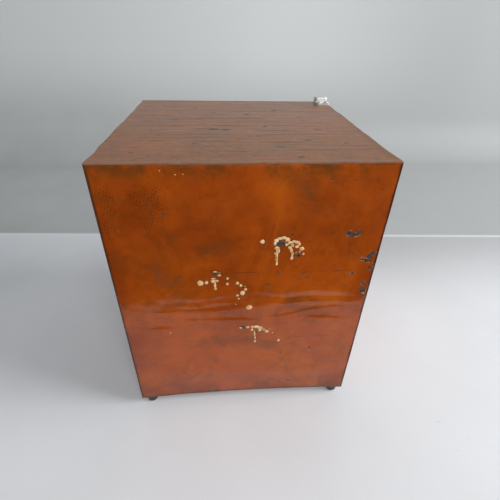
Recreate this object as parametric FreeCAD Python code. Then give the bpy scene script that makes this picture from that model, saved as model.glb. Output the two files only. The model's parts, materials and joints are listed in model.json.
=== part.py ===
"""Street fire alarm box: sheet-steel case, pivot-hung door with a break-glass window, clockwork transmitter.

Row frame, millimetres: +Z up, -Y out of the door, +X to the right of someone facing the door.
The origin is the centre of the four post-bolt holes, in the underside of the base pan.
"""

import FreeCAD
import Part

import math
import os

V = FreeCAD.Vector
X_AXIS, Y_AXIS, Z_AXIS = V(1, 0, 0), V(0, 1, 0), V(0, 0, 1)

# ---- driving dimensions -------------------------------------------------------------------------
CASE_W, CASE_D, CASE_H = 340.0, 336.0, 404.0
SHEET = 1.5  # side, rear and door sheet
PLATE = 2.0  # top, base and door frame sheet
FOOT_R, FOOT_H = 9.0, 15.0
FOOT_X, REAR_FOOT_Y, FRONT_FOOT_Y = 156.0, 155.5, -110.0
DOOR_DEPTH, DOOR_GAP, DOOR_LIP = 18.0, 2.5, 18.5
BOLT_X, BOLT_Y, BOLT_R = 130.0, 110.0, 5.5
FRAME_WIDTH, FRAME_LIP = 20.0, 10.5
RUN = 0.05  # radial clearance of a running fit
SCREW_R, SCREW_HOLE_R, NUT_ACROSS, NUT_H = 2.0, 2.1, 7.0, 3.0  # the small screws, their holes and nuts

HALF_W = CASE_W / 2
IN_X = HALF_W - SHEET  # inner face of the side panels
REAR_Y, FRONT_Y = CASE_D / 2, -CASE_D / 2
FACE_Y = FRONT_Y + DOOR_DEPTH + DOOR_GAP  # front plane of the door frame
TOP_Z = CASE_H - PLATE  # underside of the top cover

# door
DOOR_X, DOOR_Z0, DOOR_Z1 = 169.5, 1.0, TOP_Z - 1.2
DOOR_BACK = FRONT_Y + DOOR_DEPTH
DOOR_IN = FRONT_Y + SHEET  # inner face of the door's front
PIVOT_X, PIVOT_Y, PIN_R = -163.0, -162.0, 3.0
WINDOW_X, WINDOW_Z0, WINDOW_Z1, WINDOW_R = 75.0, 210.0, 345.0, 6.0
GLASS_T, GASKET_T = 2.5, 1.5
LOCK_X, LOCK_Z, SPINDLE_R = 130.0, 150.0, 5.0
COVER_Z, KEYHOLE_Z = 112.0, 100.0  # keyhole cover's pivot, and the keyhole under it
CAM_Y0, CAM_T, CAM_LENGTH = FACE_Y + 13.1, 3.0, 30.0
HAMMER_X, HAMMER_Y, HAMMER_R = 118.0, -184.0, 4.5

# mechanism board and movement
BOARD_X, BOARD_Z0, BOARD_Z1, BOARD_T, BOARD_Y = 158.0, 20.0, 370.0, 14.0, -4.0
PLATES = (-70.0, 60.0, 200.0, 345.0)  # movement plates: x from, x to, z from, z to
FRONT_PLATE_Y, BACK_PLATE_Y, MOVE_T = -70.0, -26.0, 3.0
PULL_PLATE_Y, PULL_PLATE_T = -96.0, 1.5
PILLARS = [(x, z) for x in (-62.0, 52.0) for z in (208.0, 337.0)]

# gear train, all axes along Y
PRESSURE = math.radians(25)
SECTOR_M, SECTOR_N, PINION_N = 1.25, 72, 12
WHEEL_M, WHEEL_N = 1.0, 72
SECOND_M, SECOND_N, FLY_PINION_N = 0.8, 60, 10
BACKLASH = 0.22
LEVER = (-48.0, 312.0)
SECTOR_TO_ARBOR, ARBOR_TO_CODE, CODE_TO_FLY = -50.0, -60.0, 10.0  # directions, degrees
CODE_R, FLY_R = 25.0, 18.0


def polar(centre, radius, degrees):
    a = math.radians(degrees)
    return (centre[0] + radius * math.cos(a), centre[1] + radius * math.sin(a))


ARBOR = polar(LEVER, SECTOR_M * (SECTOR_N + PINION_N) / 2, SECTOR_TO_ARBOR)
CODE = polar(ARBOR, WHEEL_M * (WHEEL_N + PINION_N) / 2, ARBOR_TO_CODE)
FLY = polar(CODE, SECOND_M * (SECOND_N + FLY_PINION_N) / 2, CODE_TO_FLY)
CONTACT = (CODE[0] - CODE_R - 4.75, 214.0)


# ---- shape helpers ------------------------------------------------------------------------------
def box(x0, x1, y0, y1, z0, z1):
    return Part.makeBox(x1 - x0, y1 - y0, z1 - z0, V(x0, y0, z0))


def rod(r, y0, y1, x, z):
    """A round bar along Y."""
    return Part.makeCylinder(r, y1 - y0, V(x, y0, z), Y_AXIS)


def post(r, z0, z1, x, y):
    """A round bar along Z."""
    return Part.makeCylinder(r, z1 - z0, V(x, y, z0), Z_AXIS)


def hexagon(across, length, base, axis):
    """A hexagonal bar that starts at base and runs along axis."""
    r = across / math.sqrt(3)
    points = [V(r * math.cos(math.pi / 3 * k), r * math.sin(math.pi / 3 * k), 0) for k in range(7)]
    bar = Part.Face(Part.makePolygon(points)).extrude(V(0, 0, length))
    bar.Placement = FreeCAD.Placement(base, FreeCAD.Rotation(Z_AXIS, axis))
    return bar


def slab(points, y0, y1):
    """A plate across Y with the outline points (x, z)."""
    loop = [V(x, y0, z) for x, z in points]
    return Part.Face(Part.makePolygon(loop + loop[:1])).extrude(V(0, y1 - y0, 0))


def rounded(x0, x1, y0, y1, z0, z1, r, axis="Y"):
    """A box with the four edges along axis rounded."""
    block = box(x0, x1, y0, y1, z0, z1)
    along = {"X": X_AXIS, "Y": Y_AXIS, "Z": Z_AXIS}[axis]
    edges = [e for e in block.Edges if abs(abs(e.tangentAt(e.FirstParameter).dot(along)) - 1) < 1e-6]
    return block.makeFillet(r, edges)


def ring_plate(outer, inner, y0, y1, r=0.0):
    """A flat rectangular ring across Y; outer and inner are (x0, x1, z0, z1)."""
    whole = box(outer[0], outer[1], y0, y1, outer[2], outer[3])
    if r:
        whole = rounded(outer[0], outer[1], y0, y1, outer[2], outer[3], r)
        hole = rounded(inner[0], inner[1], y0 - 1, y1 + 1, inner[2], inner[3], r)
    else:
        hole = box(inner[0], inner[1], y0 - 1, y1 + 1, inner[2], inner[3])
    return whole.cut(hole)


def fuse(*shapes):
    solid = shapes[0]
    for s in shapes[1:]:
        solid = solid.fuse(s)
    return solid.removeSplitter()


def cut(shape, *tools):
    for t in tools:
        shape = shape.cut(t)
    return shape


def revolve_y(points, x, z):
    """A turned part about the line along Y through (x, z); points are (radius, y)."""
    loop = [V(x + r, y, z) for r, y in points]
    face = Part.Face(Part.makePolygon(loop + loop[:1]))
    return face.revolve(V(x, 0, z), Y_AXIS, 360)


def screw_y(x, z, seat, tip, r=2.0, head_r=3.8, head=2.4):
    """A cheese-head screw along Y: the head's underside at seat, the point at tip."""
    step = 1 if tip > seat else -1
    top = seat - step * head
    slot_y0, slot_y1 = sorted((top, top + step * 0.9))
    slot = box(x - head_r, x + head_r, slot_y0, slot_y1, z - 0.5, z + 0.5)
    head_body = rod(head_r, min(top, seat), max(top, seat), x, z)
    shank = rod(r, min(seat, tip), max(seat, tip), x, z)
    return fuse(head_body, shank).cut(slot)


# ---- gears --------------------------------------------------------------------------------------
def tooth_points(module, teeth, centre, phase, first, count):
    """Outline (x, z) of count teeth from tooth number first; tooth 0 is centred on phase, in degrees."""
    pitch = module * teeth / 2
    base = pitch * math.cos(PRESSURE)
    tip, root = pitch + 0.85 * module, pitch - 1.15 * module
    half = math.pi / (2 * teeth) - BACKLASH / (2 * pitch)

    def inv(a):
        return math.tan(a) - a

    def half_angle(radius):
        return half + inv(PRESSURE) - inv(math.acos(min(1.0, base / radius)))

    low = max(base, root)
    flank = [(root, half_angle(low))] if root < base - 1e-6 else []
    flank += [(low + (tip - low) * s, half_angle(low + (tip - low) * s)) for s in (0.0, 0.5, 1.0)]
    points = []
    for k in range(first, first + count):
        middle = math.radians(phase) + 2 * math.pi * k / teeth
        for radius, a in flank:
            points.append((radius, middle - a))
        for radius, a in reversed(flank):
            points.append((radius, middle + a))
    return [(centre[0] + r * math.cos(a), centre[1] + r * math.sin(a)) for r, a in points]


def gear(module, teeth, centre, phase, y0, y1):
    return slab(tooth_points(module, teeth, centre, phase, 0, teeth), y0, y1)


SPOKE_ANGLE = 7.0  # half of a spoke, seen from the arbor


def spoked(wheel, centre, rim_r, hub_r, spokes, y0, y1):
    """Cuts the openings between the spokes of a wheel."""
    half = 360.0 / spokes / 2 - SPOKE_ANGLE
    for k in range(spokes):
        wedge = Part.makeCylinder(rim_r, y1 - y0 + 2, V(0, 0, 0), Z_AXIS, 2 * half)
        wedge = wedge.cut(Part.makeCylinder(hub_r, y1 - y0 + 2))
        wedge.rotate(V(0, 0, 0), Z_AXIS, k * 360.0 / spokes)
        wedge.rotate(V(0, 0, 0), X_AXIS, -90)
        wedge.translate(V(centre[0], y0 - 1, centre[1]))
        wheel = wheel.cut(wedge)
    return wheel


# ---- case ---------------------------------------------------------------------------------------
def rear_panel():
    """Flat sheet between the side panels, its vertical and top edges turned inward."""
    turn, above_pan = 12.0, 17.0
    inner = REAR_Y - SHEET
    sheet = box(-IN_X, IN_X, inner, REAR_Y, 0, TOP_Z)
    left = box(-IN_X, -IN_X + SHEET, inner - turn, inner, above_pan, TOP_Z)
    right = box(IN_X - SHEET, IN_X, inner - turn, inner, above_pan, TOP_Z)
    top = box(-IN_X, IN_X, inner - turn, inner, TOP_Z - SHEET, TOP_Z)
    return fuse(sheet, left, right, top)


def side_panel(side):
    x0, x1 = sorted((side * IN_X, side * HALF_W))
    f0, f1 = sorted((side * (IN_X - 14), side * IN_X))
    wall = box(x0, x1, FACE_Y, REAR_Y, 0, TOP_Z)
    flange = box(f0, f1, FACE_Y + 14.5, REAR_Y - 15, TOP_Z - SHEET, TOP_Z)
    return fuse(wall, flange)


def top_cover():
    """Overhangs the door as a drip edge, and carries the upper pivot."""
    sheet = box(-HALF_W, HALF_W, FRONT_Y, REAR_Y, TOP_Z, CASE_H)
    top_edges = [e for e in sheet.Edges if min(v.Z for v in e.Vertexes) > CASE_H - 0.01]
    sheet = sheet.makeFillet(0.9, top_edges)
    half, y0, y1, drop = 150.0, 30.0, 45.0, 16.0
    upper = box(-half, half, y0, y1, TOP_Z - SHEET, TOP_Z)
    stiffener = fuse(upper, box(-half, half, y0, y0 + SHEET, TOP_Z - drop, TOP_Z))
    holes = [post(PIN_R + 0.1, TOP_Z - 1, CASE_H + 1, PIVOT_X, PIVOT_Y)]
    holes += [post(SCREW_HOLE_R, TOP_Z - 1, CASE_H + 1, x, y) for x, y in TOP_SCREWS]
    return cut(fuse(sheet, stiffener), *holes)


def base_pan():
    """Flat pan with its edges turned up inside the walls, post-bolt holes, cable hole and sound slots."""
    up = 15.0
    y0, y1 = FACE_Y + PLATE, REAR_Y - SHEET
    inside = box(-IN_X + PLATE, IN_X - PLATE, y0 + PLATE, y1 - PLATE, PLATE, up + 1)
    pan = box(-IN_X, IN_X, y0, y1, 0, up).cut(inside)
    holes = [post(BOLT_R, -1, 3, sx * BOLT_X, sy * BOLT_Y) for sx in (-1, 1) for sy in (-1, 1)]
    holes += [post(FOOT_HOLE_R, -1, 3, x, y) for x, y in FEET]
    holes += [post(SCREW_HOLE_R, -1, 3, x, y) for x, y in BOTTOM_SCREWS]
    holes.append(post(GLAND_R, -1, 3, GLAND_X, GLAND_Y))
    holes += [rounded(-118, -48, y, y + 5, -1, 3, 2.4, "Z") for y in range(-110, -40, 14)]
    return cut(pan, *holes)


def door_frame():
    opening = (-IN_X + FRAME_WIDTH, IN_X - FRAME_WIDTH, 22.0, TOP_Z - 22.0)
    face = ring_plate((-IN_X, IN_X, 0.0, TOP_Z), opening, FACE_Y, FACE_Y + PLATE)
    grown = (opening[0] - PLATE, opening[1] + PLATE, opening[2] - PLATE, opening[3] + PLATE)
    lip = ring_plate(grown, opening, FACE_Y + PLATE, FACE_Y + PLATE + FRAME_LIP)
    return fuse(face, lip)


def door_seal():
    outer, inner = (-155.5, 155.5, 10.0, 392.0), (-150.5, 150.5, 15.0, 387.0)
    return ring_plate(outer, inner, FACE_Y - DOOR_GAP + 0.3, FACE_Y, 4.0)


FOOT_SCREW_R, FOOT_HOLE_R, FOOT_WELL_R, FOOT_WELL = 2.5, 2.6, 4.3, 5.0
FEET = [(-FOOT_X, REAR_FOOT_Y), (FOOT_X, REAR_FOOT_Y), (-FOOT_X, FRONT_FOOT_Y), (FOOT_X, FRONT_FOOT_Y)]


def foot(x, y):
    """Moulded rubber foot with a rounded tread and a well for its screw."""
    body = post(FOOT_R, -FOOT_H, 0, x, y)
    tread = [e for e in body.Edges if max(v.Z for v in e.Vertexes) < -FOOT_H + 0.01]
    body = body.makeFillet(4.0, tread)
    well = post(FOOT_WELL_R, -FOOT_H - 1, -FOOT_H + FOOT_WELL, x, y)
    return cut(body, well, post(FOOT_HOLE_R, -FOOT_H, 1, x, y))


def foot_screw(x, y):
    """Screw up through a foot and the base pan, with its nut."""
    head = post(FOOT_WELL_R - 0.1, -FOOT_H + 2, -FOOT_H + FOOT_WELL, x, y)
    shank = post(FOOT_SCREW_R, -FOOT_H + FOOT_WELL, 7.5, x, y)
    nut = hexagon(8.0, 4.0, V(x, y, PLATE), Z_AXIS).cut(post(FOOT_SCREW_R, 1, 8, x, y))
    return [fuse(head, shank), nut]


# ---- door pivots --------------------------------------------------------------------------------
TOP_SCREWS = [(-164.5, -140.5), (-152.5, -140.5)]
BOTTOM_SCREWS = [(-158.5, -137.0), (-158.5, -127.0)]
PIN_REACH = 14.0  # how far a pin enters the door
HINGE_X, BOSS_H, BOSS_BACK, TAIL_H, TAIL_BACK = -147.0, 10.5, -150.0, 3.0, -134.5
BOTTOM_T, BOTTOM_BACK = 5.0, -121.0


def hinge_block_top():
    """Plated pivot block: a boss over the pin and a screwed foot behind it."""
    boss = rounded(-HALF_W, HINGE_X, FRONT_Y, BOSS_BACK, CASE_H, CASE_H + BOSS_H, 5.0, "Z")
    crown = [e for e in boss.Edges if min(v.Z for v in e.Vertexes) > CASE_H + BOSS_H - 0.1]
    boss = boss.makeFillet(2.5, crown)
    tail = rounded(-HALF_W, HINGE_X, BOSS_BACK - 8, TAIL_BACK, CASE_H, CASE_H + TAIL_H, 3.0, "Z")
    holes = [post(SCREW_HOLE_R, CASE_H - 1, CASE_H + TAIL_H + 1, x, y) for x, y in TOP_SCREWS]
    return cut(fuse(boss, tail), post(PIN_R, CASE_H - 1, CASE_H + 8, PIVOT_X, PIVOT_Y), *holes)


def hinge_plate_bottom():
    plate = rounded(-HALF_W, HINGE_X, FRONT_Y, BOTTOM_BACK, -BOTTOM_T, 0.0, 3.0, "Z")
    holes = [post(SCREW_HOLE_R, -BOTTOM_T - 1, 1, x, y) for x, y in BOTTOM_SCREWS]
    return cut(plate, post(PIN_R, -BOTTOM_T - 1, 1, PIVOT_X, PIVOT_Y), *holes)


def hinge_pins():
    upper = post(PIN_R, DOOR_Z1 - PIN_REACH, CASE_H + 8, PIVOT_X, PIVOT_Y)
    lower = post(PIN_R, -BOTTOM_T, DOOR_Z0 + PIN_REACH, PIVOT_X, PIVOT_Y)
    return [upper, lower]


def hinge_screws():
    pieces = []
    seat = CASE_H + TAIL_H
    for x, y in TOP_SCREWS:
        head = Part.makeSphere(5.2, V(x, y, seat - 2.4)).common(post(4.4, seat, seat + 5, x, y))
        pieces.append(fuse(head, post(SCREW_R, TOP_Z - 5, seat + 0.01, x, y)))
        nut = hexagon(NUT_ACROSS, NUT_H, V(x, y, TOP_Z - NUT_H), Z_AXIS)
        pieces.append(nut.cut(post(SCREW_R, TOP_Z - 6, TOP_Z, x, y)))
    for x, y in BOTTOM_SCREWS:
        head = post(4.0, -BOTTOM_T - 2, -BOTTOM_T, x, y)
        pieces.append(fuse(head, post(SCREW_R, -BOTTOM_T, 6.5, x, y)))
        pieces.append(hexagon(NUT_ACROSS, NUT_H, V(x, y, PLATE), Z_AXIS).cut(post(SCREW_R, 1, 7, x, y)))
    return pieces


def hinge_leaves():
    """Bushed blocks in the door's hinge-side corners, which turn on the pins."""
    pieces = []
    for z0, z1 in ((DOOR_Z0 + SHEET, DOOR_Z0 + PIN_REACH + 1), (DOOR_Z1 - PIN_REACH - 1, DOOR_Z1 - SHEET)):
        block = box(-DOOR_X + SHEET, -155.0, DOOR_IN, DOOR_IN + 10.0, z0, z1)
        pieces.append(block.cut(post(PIN_R + RUN, z0 - 1, z1 + 1, PIVOT_X, PIVOT_Y)))
    return pieces


# ---- door ---------------------------------------------------------------------------------------
def door_panel():
    """Folded pan with a return lip all round, cut for the window, spindle and keyhole."""
    pan = box(-DOOR_X, DOOR_X, FRONT_Y, DOOR_BACK, DOOR_Z0, DOOR_Z1)
    front_edges = [e for e in pan.Edges if max(v.Y for v in e.Vertexes) < FRONT_Y + 0.01]
    pan = pan.makeFillet(1.2, front_edges)
    half = DOOR_X - SHEET
    inside = box(-half, half, DOOR_IN, DOOR_BACK - SHEET, DOOR_Z0 + SHEET, DOOR_Z1 - SHEET)
    mouth = box(-DOOR_X + DOOR_LIP, DOOR_X - DOOR_LIP, DOOR_BACK - 2, DOOR_BACK + 1,
                DOOR_Z0 + DOOR_LIP, DOOR_Z1 - DOOR_LIP)
    window = rounded(-WINDOW_X, WINDOW_X, FRONT_Y - 1, DOOR_IN + 1, WINDOW_Z0, WINDOW_Z1, WINDOW_R)
    pin_holes = [post(PIN_R + 0.5, z - 3, z + 3, PIVOT_X, PIVOT_Y) for z in (DOOR_Z0, DOOR_Z1)]
    spindle_hole = rod(SPINDLE_R + 1, FRONT_Y - 1, DOOR_IN + 1, LOCK_X, LOCK_Z)
    screws = [rod(SCREW_HOLE_R, FRONT_Y - 1, DOOR_IN + 1, x, z) for x, z in BEZEL_SCREWS + LOCK_SCREWS]
    return cut(pan, inside, mouth, window, *pin_holes, spindle_hole, keyhole(FRONT_Y - 1, DOOR_IN + 1), *screws)


BEZEL_SCREWS = [(x, z) for x in (-88.0, 88.0) for z in (197.5, 277.5, 357.5)]
LOCK_SCREWS = [(x, z) for x in (113.5, 146.5) for z in (86.0, 174.0)]
PLATE_RIVETS = [(x, z) for x in (-109.0, 49.0) for z in (116.0, 169.0)]


def keyhole(y0, y1):
    slit = box(LOCK_X - 1.5, LOCK_X + 1.5, y0, y1, KEYHOLE_Z - 8, KEYHOLE_Z)
    return fuse(rod(3.0, y0, y1, LOCK_X, KEYHOLE_Z), slit)


BEZEL_T, RETAINER_T = 4.0, 2.0
GLASS_BACK = DOOR_IN + GASKET_T + GLASS_T


def around_window(side, below, above):
    """A rectangle (x0, x1, z0, z1) that much larger than the window."""
    return (-WINDOW_X - side, WINDOW_X + side, WINDOW_Z0 - below, WINDOW_Z1 + above)


def window_bezel():
    outer, inner = around_window(20, 19.5, 19.5), around_window(-2, -2, -2)
    ring = ring_plate(outer, inner, FRONT_Y - BEZEL_T, FRONT_Y, 7.0)
    rim = [e for e in ring.Edges if max(v.Y for v in e.Vertexes) < FRONT_Y - BEZEL_T + 0.1]
    ring = ring.makeChamfer(1.6, rim)
    return cut(ring, *[rod(SCREW_HOLE_R, FRONT_Y - BEZEL_T - 1, FRONT_Y + 1, x, z) for x, z in BEZEL_SCREWS])


def window_gasket():
    return ring_plate(around_window(6, 6, 6), around_window(1, 1, 1), DOOR_IN, DOOR_IN + GASKET_T)


def window_glass():
    x0, x1, z0, z1 = around_window(6, 6, 6)
    return box(x0, x1, DOOR_IN + GASKET_T, GLASS_BACK, z0, z1)


def glass_retainer():
    outer = around_window(18, 17.5, 17.5)
    face = ring_plate(outer, around_window(0, 0, 0), GLASS_BACK, GLASS_BACK + RETAINER_T)
    rim = ring_plate(outer, around_window(16, 15.5, 15.5), DOOR_IN, GLASS_BACK)
    holes = [rod(SCREW_HOLE_R, GLASS_BACK - 1, GLASS_BACK + 3, x, z) for x, z in BEZEL_SCREWS]
    return cut(fuse(face, rim), *holes)


def door_screws():
    """Window and escutcheon screws, the window's nuts, and the instruction plate's rivets."""
    back = GLASS_BACK + RETAINER_T
    pieces = []
    for x, z in BEZEL_SCREWS:
        pieces.append(screw_y(x, z, FRONT_Y - BEZEL_T, back + 4, SCREW_R))
        nut = hexagon(NUT_ACROSS, NUT_H, V(x, back, z), Y_AXIS)
        pieces.append(nut.cut(rod(SCREW_R, back - 1, back + 5, x, z)))
    pieces += [screw_y(x, z, FRONT_Y - LOCK_PLATE_T, DOOR_IN, SCREW_R) for x, z in LOCK_SCREWS]
    seat = FRONT_Y - SIGN_T
    rivet = [(0, seat - 1.4), (1.4, seat - 1.1), (2.4, seat), (0, seat)]
    pieces += [revolve_y(rivet, x, z) for x, z in PLATE_RIVETS]
    return pieces


SIGN_T, LOCK_PLATE_T = 1.2, 2.5


def instruction_plate():
    plate = rounded(-115, 55, FRONT_Y - SIGN_T, FRONT_Y, 110, 175, 6.0)
    edge = [e for e in plate.Edges if max(v.Y for v in e.Vertexes) < FRONT_Y - SIGN_T + 0.01]
    return plate.makeFillet(0.5, edge)


def lock_escutcheon():
    face = FRONT_Y - LOCK_PLATE_T
    plate = rounded(LOCK_X - 22, LOCK_X + 22, face, FRONT_Y, 80, 180, 8.0)
    edge = [e for e in plate.Edges if max(v.Y for v in e.Vertexes) < face + 0.01]
    plate = plate.makeChamfer(0.8, edge)
    collar = rod(11.0, face - 3.5, face, LOCK_X, LOCK_Z)
    stud = fuse(rod(2.0, face - 3, face, LOCK_X, COVER_Z), rod(3.4, face - 4, face - 3, LOCK_X, COVER_Z))
    holes = [rod(SPINDLE_R + RUN, face - 4.5, FRONT_Y + 1, LOCK_X, LOCK_Z), keyhole(face - 0.5, FRONT_Y + 1)]
    holes += [rod(SCREW_HOLE_R, face - 0.5, FRONT_Y + 1, x, z) for x, z in LOCK_SCREWS]
    return cut(fuse(plate, collar, stud), *holes)


def lock_case():
    """Pressed case of the lock, behind the door."""
    shell = rounded(110.5, 149.5, DOOR_IN, DOOR_IN + 14, 92, 168, 4.0)
    hollow = box(112.0, 148.0, DOOR_IN + 1.5, DOOR_IN + 12.5, 93.5, 166.5)
    spindle_hole = rod(SPINDLE_R + RUN, DOOR_IN - 1, DOOR_IN + 15, LOCK_X, LOCK_Z)
    return cut(shell, hollow, spindle_hole, keyhole(DOOR_IN - 1, DOOR_IN + 2))


def keyhole_cover():
    """Drop-shaped cover that hangs on its rivet over the keyhole."""
    y0, y1 = FRONT_Y - 5.3, FRONT_Y - 3.3
    side = math.sqrt((COVER_Z - KEYHOLE_Z + 1) ** 2 - 9) / (COVER_Z - KEYHOLE_Z + 1)
    upper, lower = 5.0, 8.0
    web = slab(
        [(LOCK_X - upper * side, COVER_Z + 1), (LOCK_X + upper * side, COVER_Z + 1),
         (LOCK_X + lower * side, KEYHOLE_Z + 1), (LOCK_X - lower * side, KEYHOLE_Z + 1)], y0, y1)
    body = fuse(rod(upper, y0, y1, LOCK_X, COVER_Z), rod(lower, y0, y1, LOCK_X, KEYHOLE_Z - 1), web)
    return cut(body, rod(2.0 + RUN, y0 - 1, y1 + 1, LOCK_X, COVER_Z))


def door_handle():
    """T-handle with its spindle, which runs through the lock to the latch cam."""
    hub = rod(10.0, FRONT_Y - 18, FRONT_Y - 6.4, LOCK_X, LOCK_Z)
    bar = rounded(LOCK_X - 7, LOCK_X + 7, FRONT_Y - 28, FRONT_Y - 17, LOCK_Z - 36, LOCK_Z + 36, 5.0, "Z")
    ends = [e for e in bar.Edges if abs(e.CenterOfMass.z - LOCK_Z) > 35.9]
    bar = bar.makeFillet(3.0, ends)
    spindle = rod(SPINDLE_R, FRONT_Y - 17, CAM_Y0 + CAM_T + 4, LOCK_X, LOCK_Z)
    return fuse(hub, bar, spindle)


def latch_cam():
    """Cam plate that turns behind the frame's lip, and its nut."""
    y1 = CAM_Y0 + CAM_T
    arm = fuse(rod(10.0, CAM_Y0, y1, LOCK_X, LOCK_Z), rod(7.0, CAM_Y0, y1, LOCK_X, LOCK_Z - CAM_LENGTH + 7),
               box(LOCK_X - 7, LOCK_X + 7, CAM_Y0, y1, LOCK_Z - CAM_LENGTH + 7, LOCK_Z))
    bore = rod(SPINDLE_R, CAM_Y0 - 1, y1 + 5, LOCK_X, LOCK_Z)
    return [arm.cut(bore), hexagon(14.0, 4.0, V(LOCK_X, y1, LOCK_Z), Y_AXIS).cut(bore)]


CLIP_Z = (232.0, 292.0)


def hammer_clips():
    """Two folded spring clips that hold the hammer's handle."""
    gap, strip = HAMMER_R + 0.2, 1.2
    x0, x1 = HAMMER_X - gap - strip, HAMMER_X + gap
    pieces = []
    for z in CLIP_Z:
        back = box(x0, x1 + strip, FRONT_Y - strip, FRONT_Y, z - 6, z + 6)
        jaws = [box(x, x + strip, HAMMER_Y - 6, FRONT_Y - strip, z - 6, z + 6) for x in (x0, x1)]
        pieces.append(fuse(back, *jaws))
    return pieces


def break_hammer():
    """Glass hammer: turned handle, steel head with a conical point."""
    handle = post(HAMMER_R, 212, 322, HAMMER_X, HAMMER_Y)
    knob = Part.makeSphere(7.0, V(HAMMER_X, HAMMER_Y, 208))
    head = Part.makeCylinder(8.0, 26, V(HAMMER_X - 10, HAMMER_Y, 326), X_AXIS)
    point = Part.makeCone(8.0, 1.0, 10, V(HAMMER_X - 10, HAMMER_Y, 326), V(-1, 0, 0))
    return fuse(handle, knob, head, point)


# ---- board, cells, cable entry ------------------------------------------------------------------
def board_rails():
    """Two steel angles on the side panels, which carry the board."""
    pieces = []
    for s in (-1, 1):
        leg = sorted((s * IN_X, s * (IN_X - PLATE)))
        face = sorted((s * IN_X, s * (IN_X - 24)))
        back = BOARD_Y + BOARD_T
        angle = fuse(box(*leg, back, back + 22, 18, 372), box(*face, back, back + PLATE, 18, 372))
        pieces.append(cut(angle, *[rod(2.5, back - 1, back + 3, x, z) for x, z in BOARD_SCREWS if x * s > 0]))
    return pieces


BOARD_SCREWS = [(x, z) for x in (-153.0, 153.0) for z in (40.0, 195.0, 350.0)]


def mechanism_board():
    board = rounded(-BOARD_X, BOARD_X, BOARD_Y, BOARD_Y + BOARD_T, BOARD_Z0, BOARD_Z1, 4.0)
    notch = rounded(-30, 30, BOARD_Y - 1, BOARD_Y + BOARD_T + 1, BOARD_Z0 - 10, BOARD_Z0 + 12, 5.0)
    holes = [rod(2.5, BOARD_Y - 1, BOARD_Y + BOARD_T + 1, x, z) for x, z in BOARD_SCREWS]
    return cut(board, notch, *holes)


def board_screws():
    back = BOARD_Y + BOARD_T + PLATE
    return [screw_y(x, z, BOARD_Y, back + 4, 2.5, 4.8, 2.8) for x, z in BOARD_SCREWS]


CELL_R, CELL_Y, CELL_X = 32.0, 92.0, (-74.0, 0.0, 74.0)
CELL_Z1 = 160.0


def battery_tray():
    tray = rounded(-115, 115, 52, 132, PLATE, 42, 4.0, "Z")
    return tray.cut(box(-113.5, 113.5, 53.5, 130.5, PLATE + 1.5, 43))


def battery_cells():
    cells = []
    for x in CELL_X:
        can = post(CELL_R, PLATE + 1.5, CELL_Z1, x, CELL_Y)
        ends = [e for e in can.Edges if abs(e.CenterOfMass.z - CELL_Z1) < 0.1 or e.CenterOfMass.z < PLATE + 1.6]
        can = can.makeFillet(1.5, ends)
        cells.append(can.cut(post(CELL_R - 2.5, CELL_Z1 - 3, CELL_Z1 + 1, x, CELL_Y)))
    return cells


def battery_terminals():
    """Centre and edge posts with knurled nuts, and the strips that join the cells in series."""
    pieces = []
    floor = CELL_Z1 - 3
    for x in CELL_X:
        for px, r in ((x, 4.0), (x + 22, 3.0)):
            stem = fuse(post(r, floor, floor + 7, px, CELL_Y), post(2.5, floor + 7, floor + 18, px, CELL_Y))
            nut = post(r + 3, floor + 9, floor + 14, px, CELL_Y)
            pieces += [stem, nut.cut(post(2.5, floor, floor + 20, px, CELL_Y))]
    for x in CELL_X[:2]:
        strip = rounded(x + 17, x + 79, CELL_Y - 5, CELL_Y + 5, floor + 7.4, floor + 8.9, 4.0, "Z")
        pieces.append(cut(strip, *[post(2.6, floor + 7, floor + 10, px, CELL_Y) for px in (x + 22, x + 74)]))
    return pieces


GLAND_X, GLAND_Y, GLAND_R, GLAND_BORE = 0.0, 31.0, 12.5, 9.0
GLAND_LOW, GLAND_HIGH = -8.0, 18.0


def cable_gland():
    """Flanged brass bush through the base pan, and its locknut."""
    flange = hexagon(32.0, -GLAND_LOW, V(GLAND_X, GLAND_Y, GLAND_LOW), Z_AXIS)
    body = fuse(flange, post(GLAND_R - 0.1, 0, GLAND_HIGH, GLAND_X, GLAND_Y))
    bore = post(GLAND_BORE, GLAND_LOW - 1, GLAND_HIGH + 1, GLAND_X, GLAND_Y)
    nut = hexagon(30.0, 5.0, V(GLAND_X, GLAND_Y, PLATE), Z_AXIS)
    return [body.cut(bore), nut.cut(post(GLAND_R - 0.1, 1, 8, GLAND_X, GLAND_Y))]


# ---- movement -----------------------------------------------------------------------------------
ARBORS = {LEVER: 5.0, ARBOR: 3.5, CODE: 2.5, FLY: 1.5}


def movement_plate(y0):
    x0, x1, z0, z1 = PLATES
    plate = rounded(x0, x1, y0, y0 + MOVE_T, z0, z1, 6.0)
    return cut(plate, *[rod(r + RUN, y0 - 1, y0 + MOVE_T + 1, *at) for at, r in ARBORS.items()])


def movement_pillars():
    """Turned pillars between the plates, legs behind, posts in front, and the nuts on the pull plate."""
    pieces = []
    front, back, waist = FRONT_PLATE_Y + MOVE_T, BACK_PLATE_Y, 3.2
    turned = [(0, front), (5, front), (5, front + 5), (waist, front + 7), (waist, back - 7), (5, back - 5),
              (5, back), (0, back)]
    for x, z in PILLARS:
        pieces.append(revolve_y(turned, x, z))
        pieces.append(rod(4.0, BACK_PLATE_Y + MOVE_T, BOARD_Y, x, z))
        pieces.append(rod(4.0, PULL_PLATE_Y + PULL_PLATE_T, FRONT_PLATE_Y, x, z))
        pieces.append(hexagon(8.0, 3.5, V(x, PULL_PLATE_Y, z), V(0, -1, 0)))
    return pieces


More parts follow.
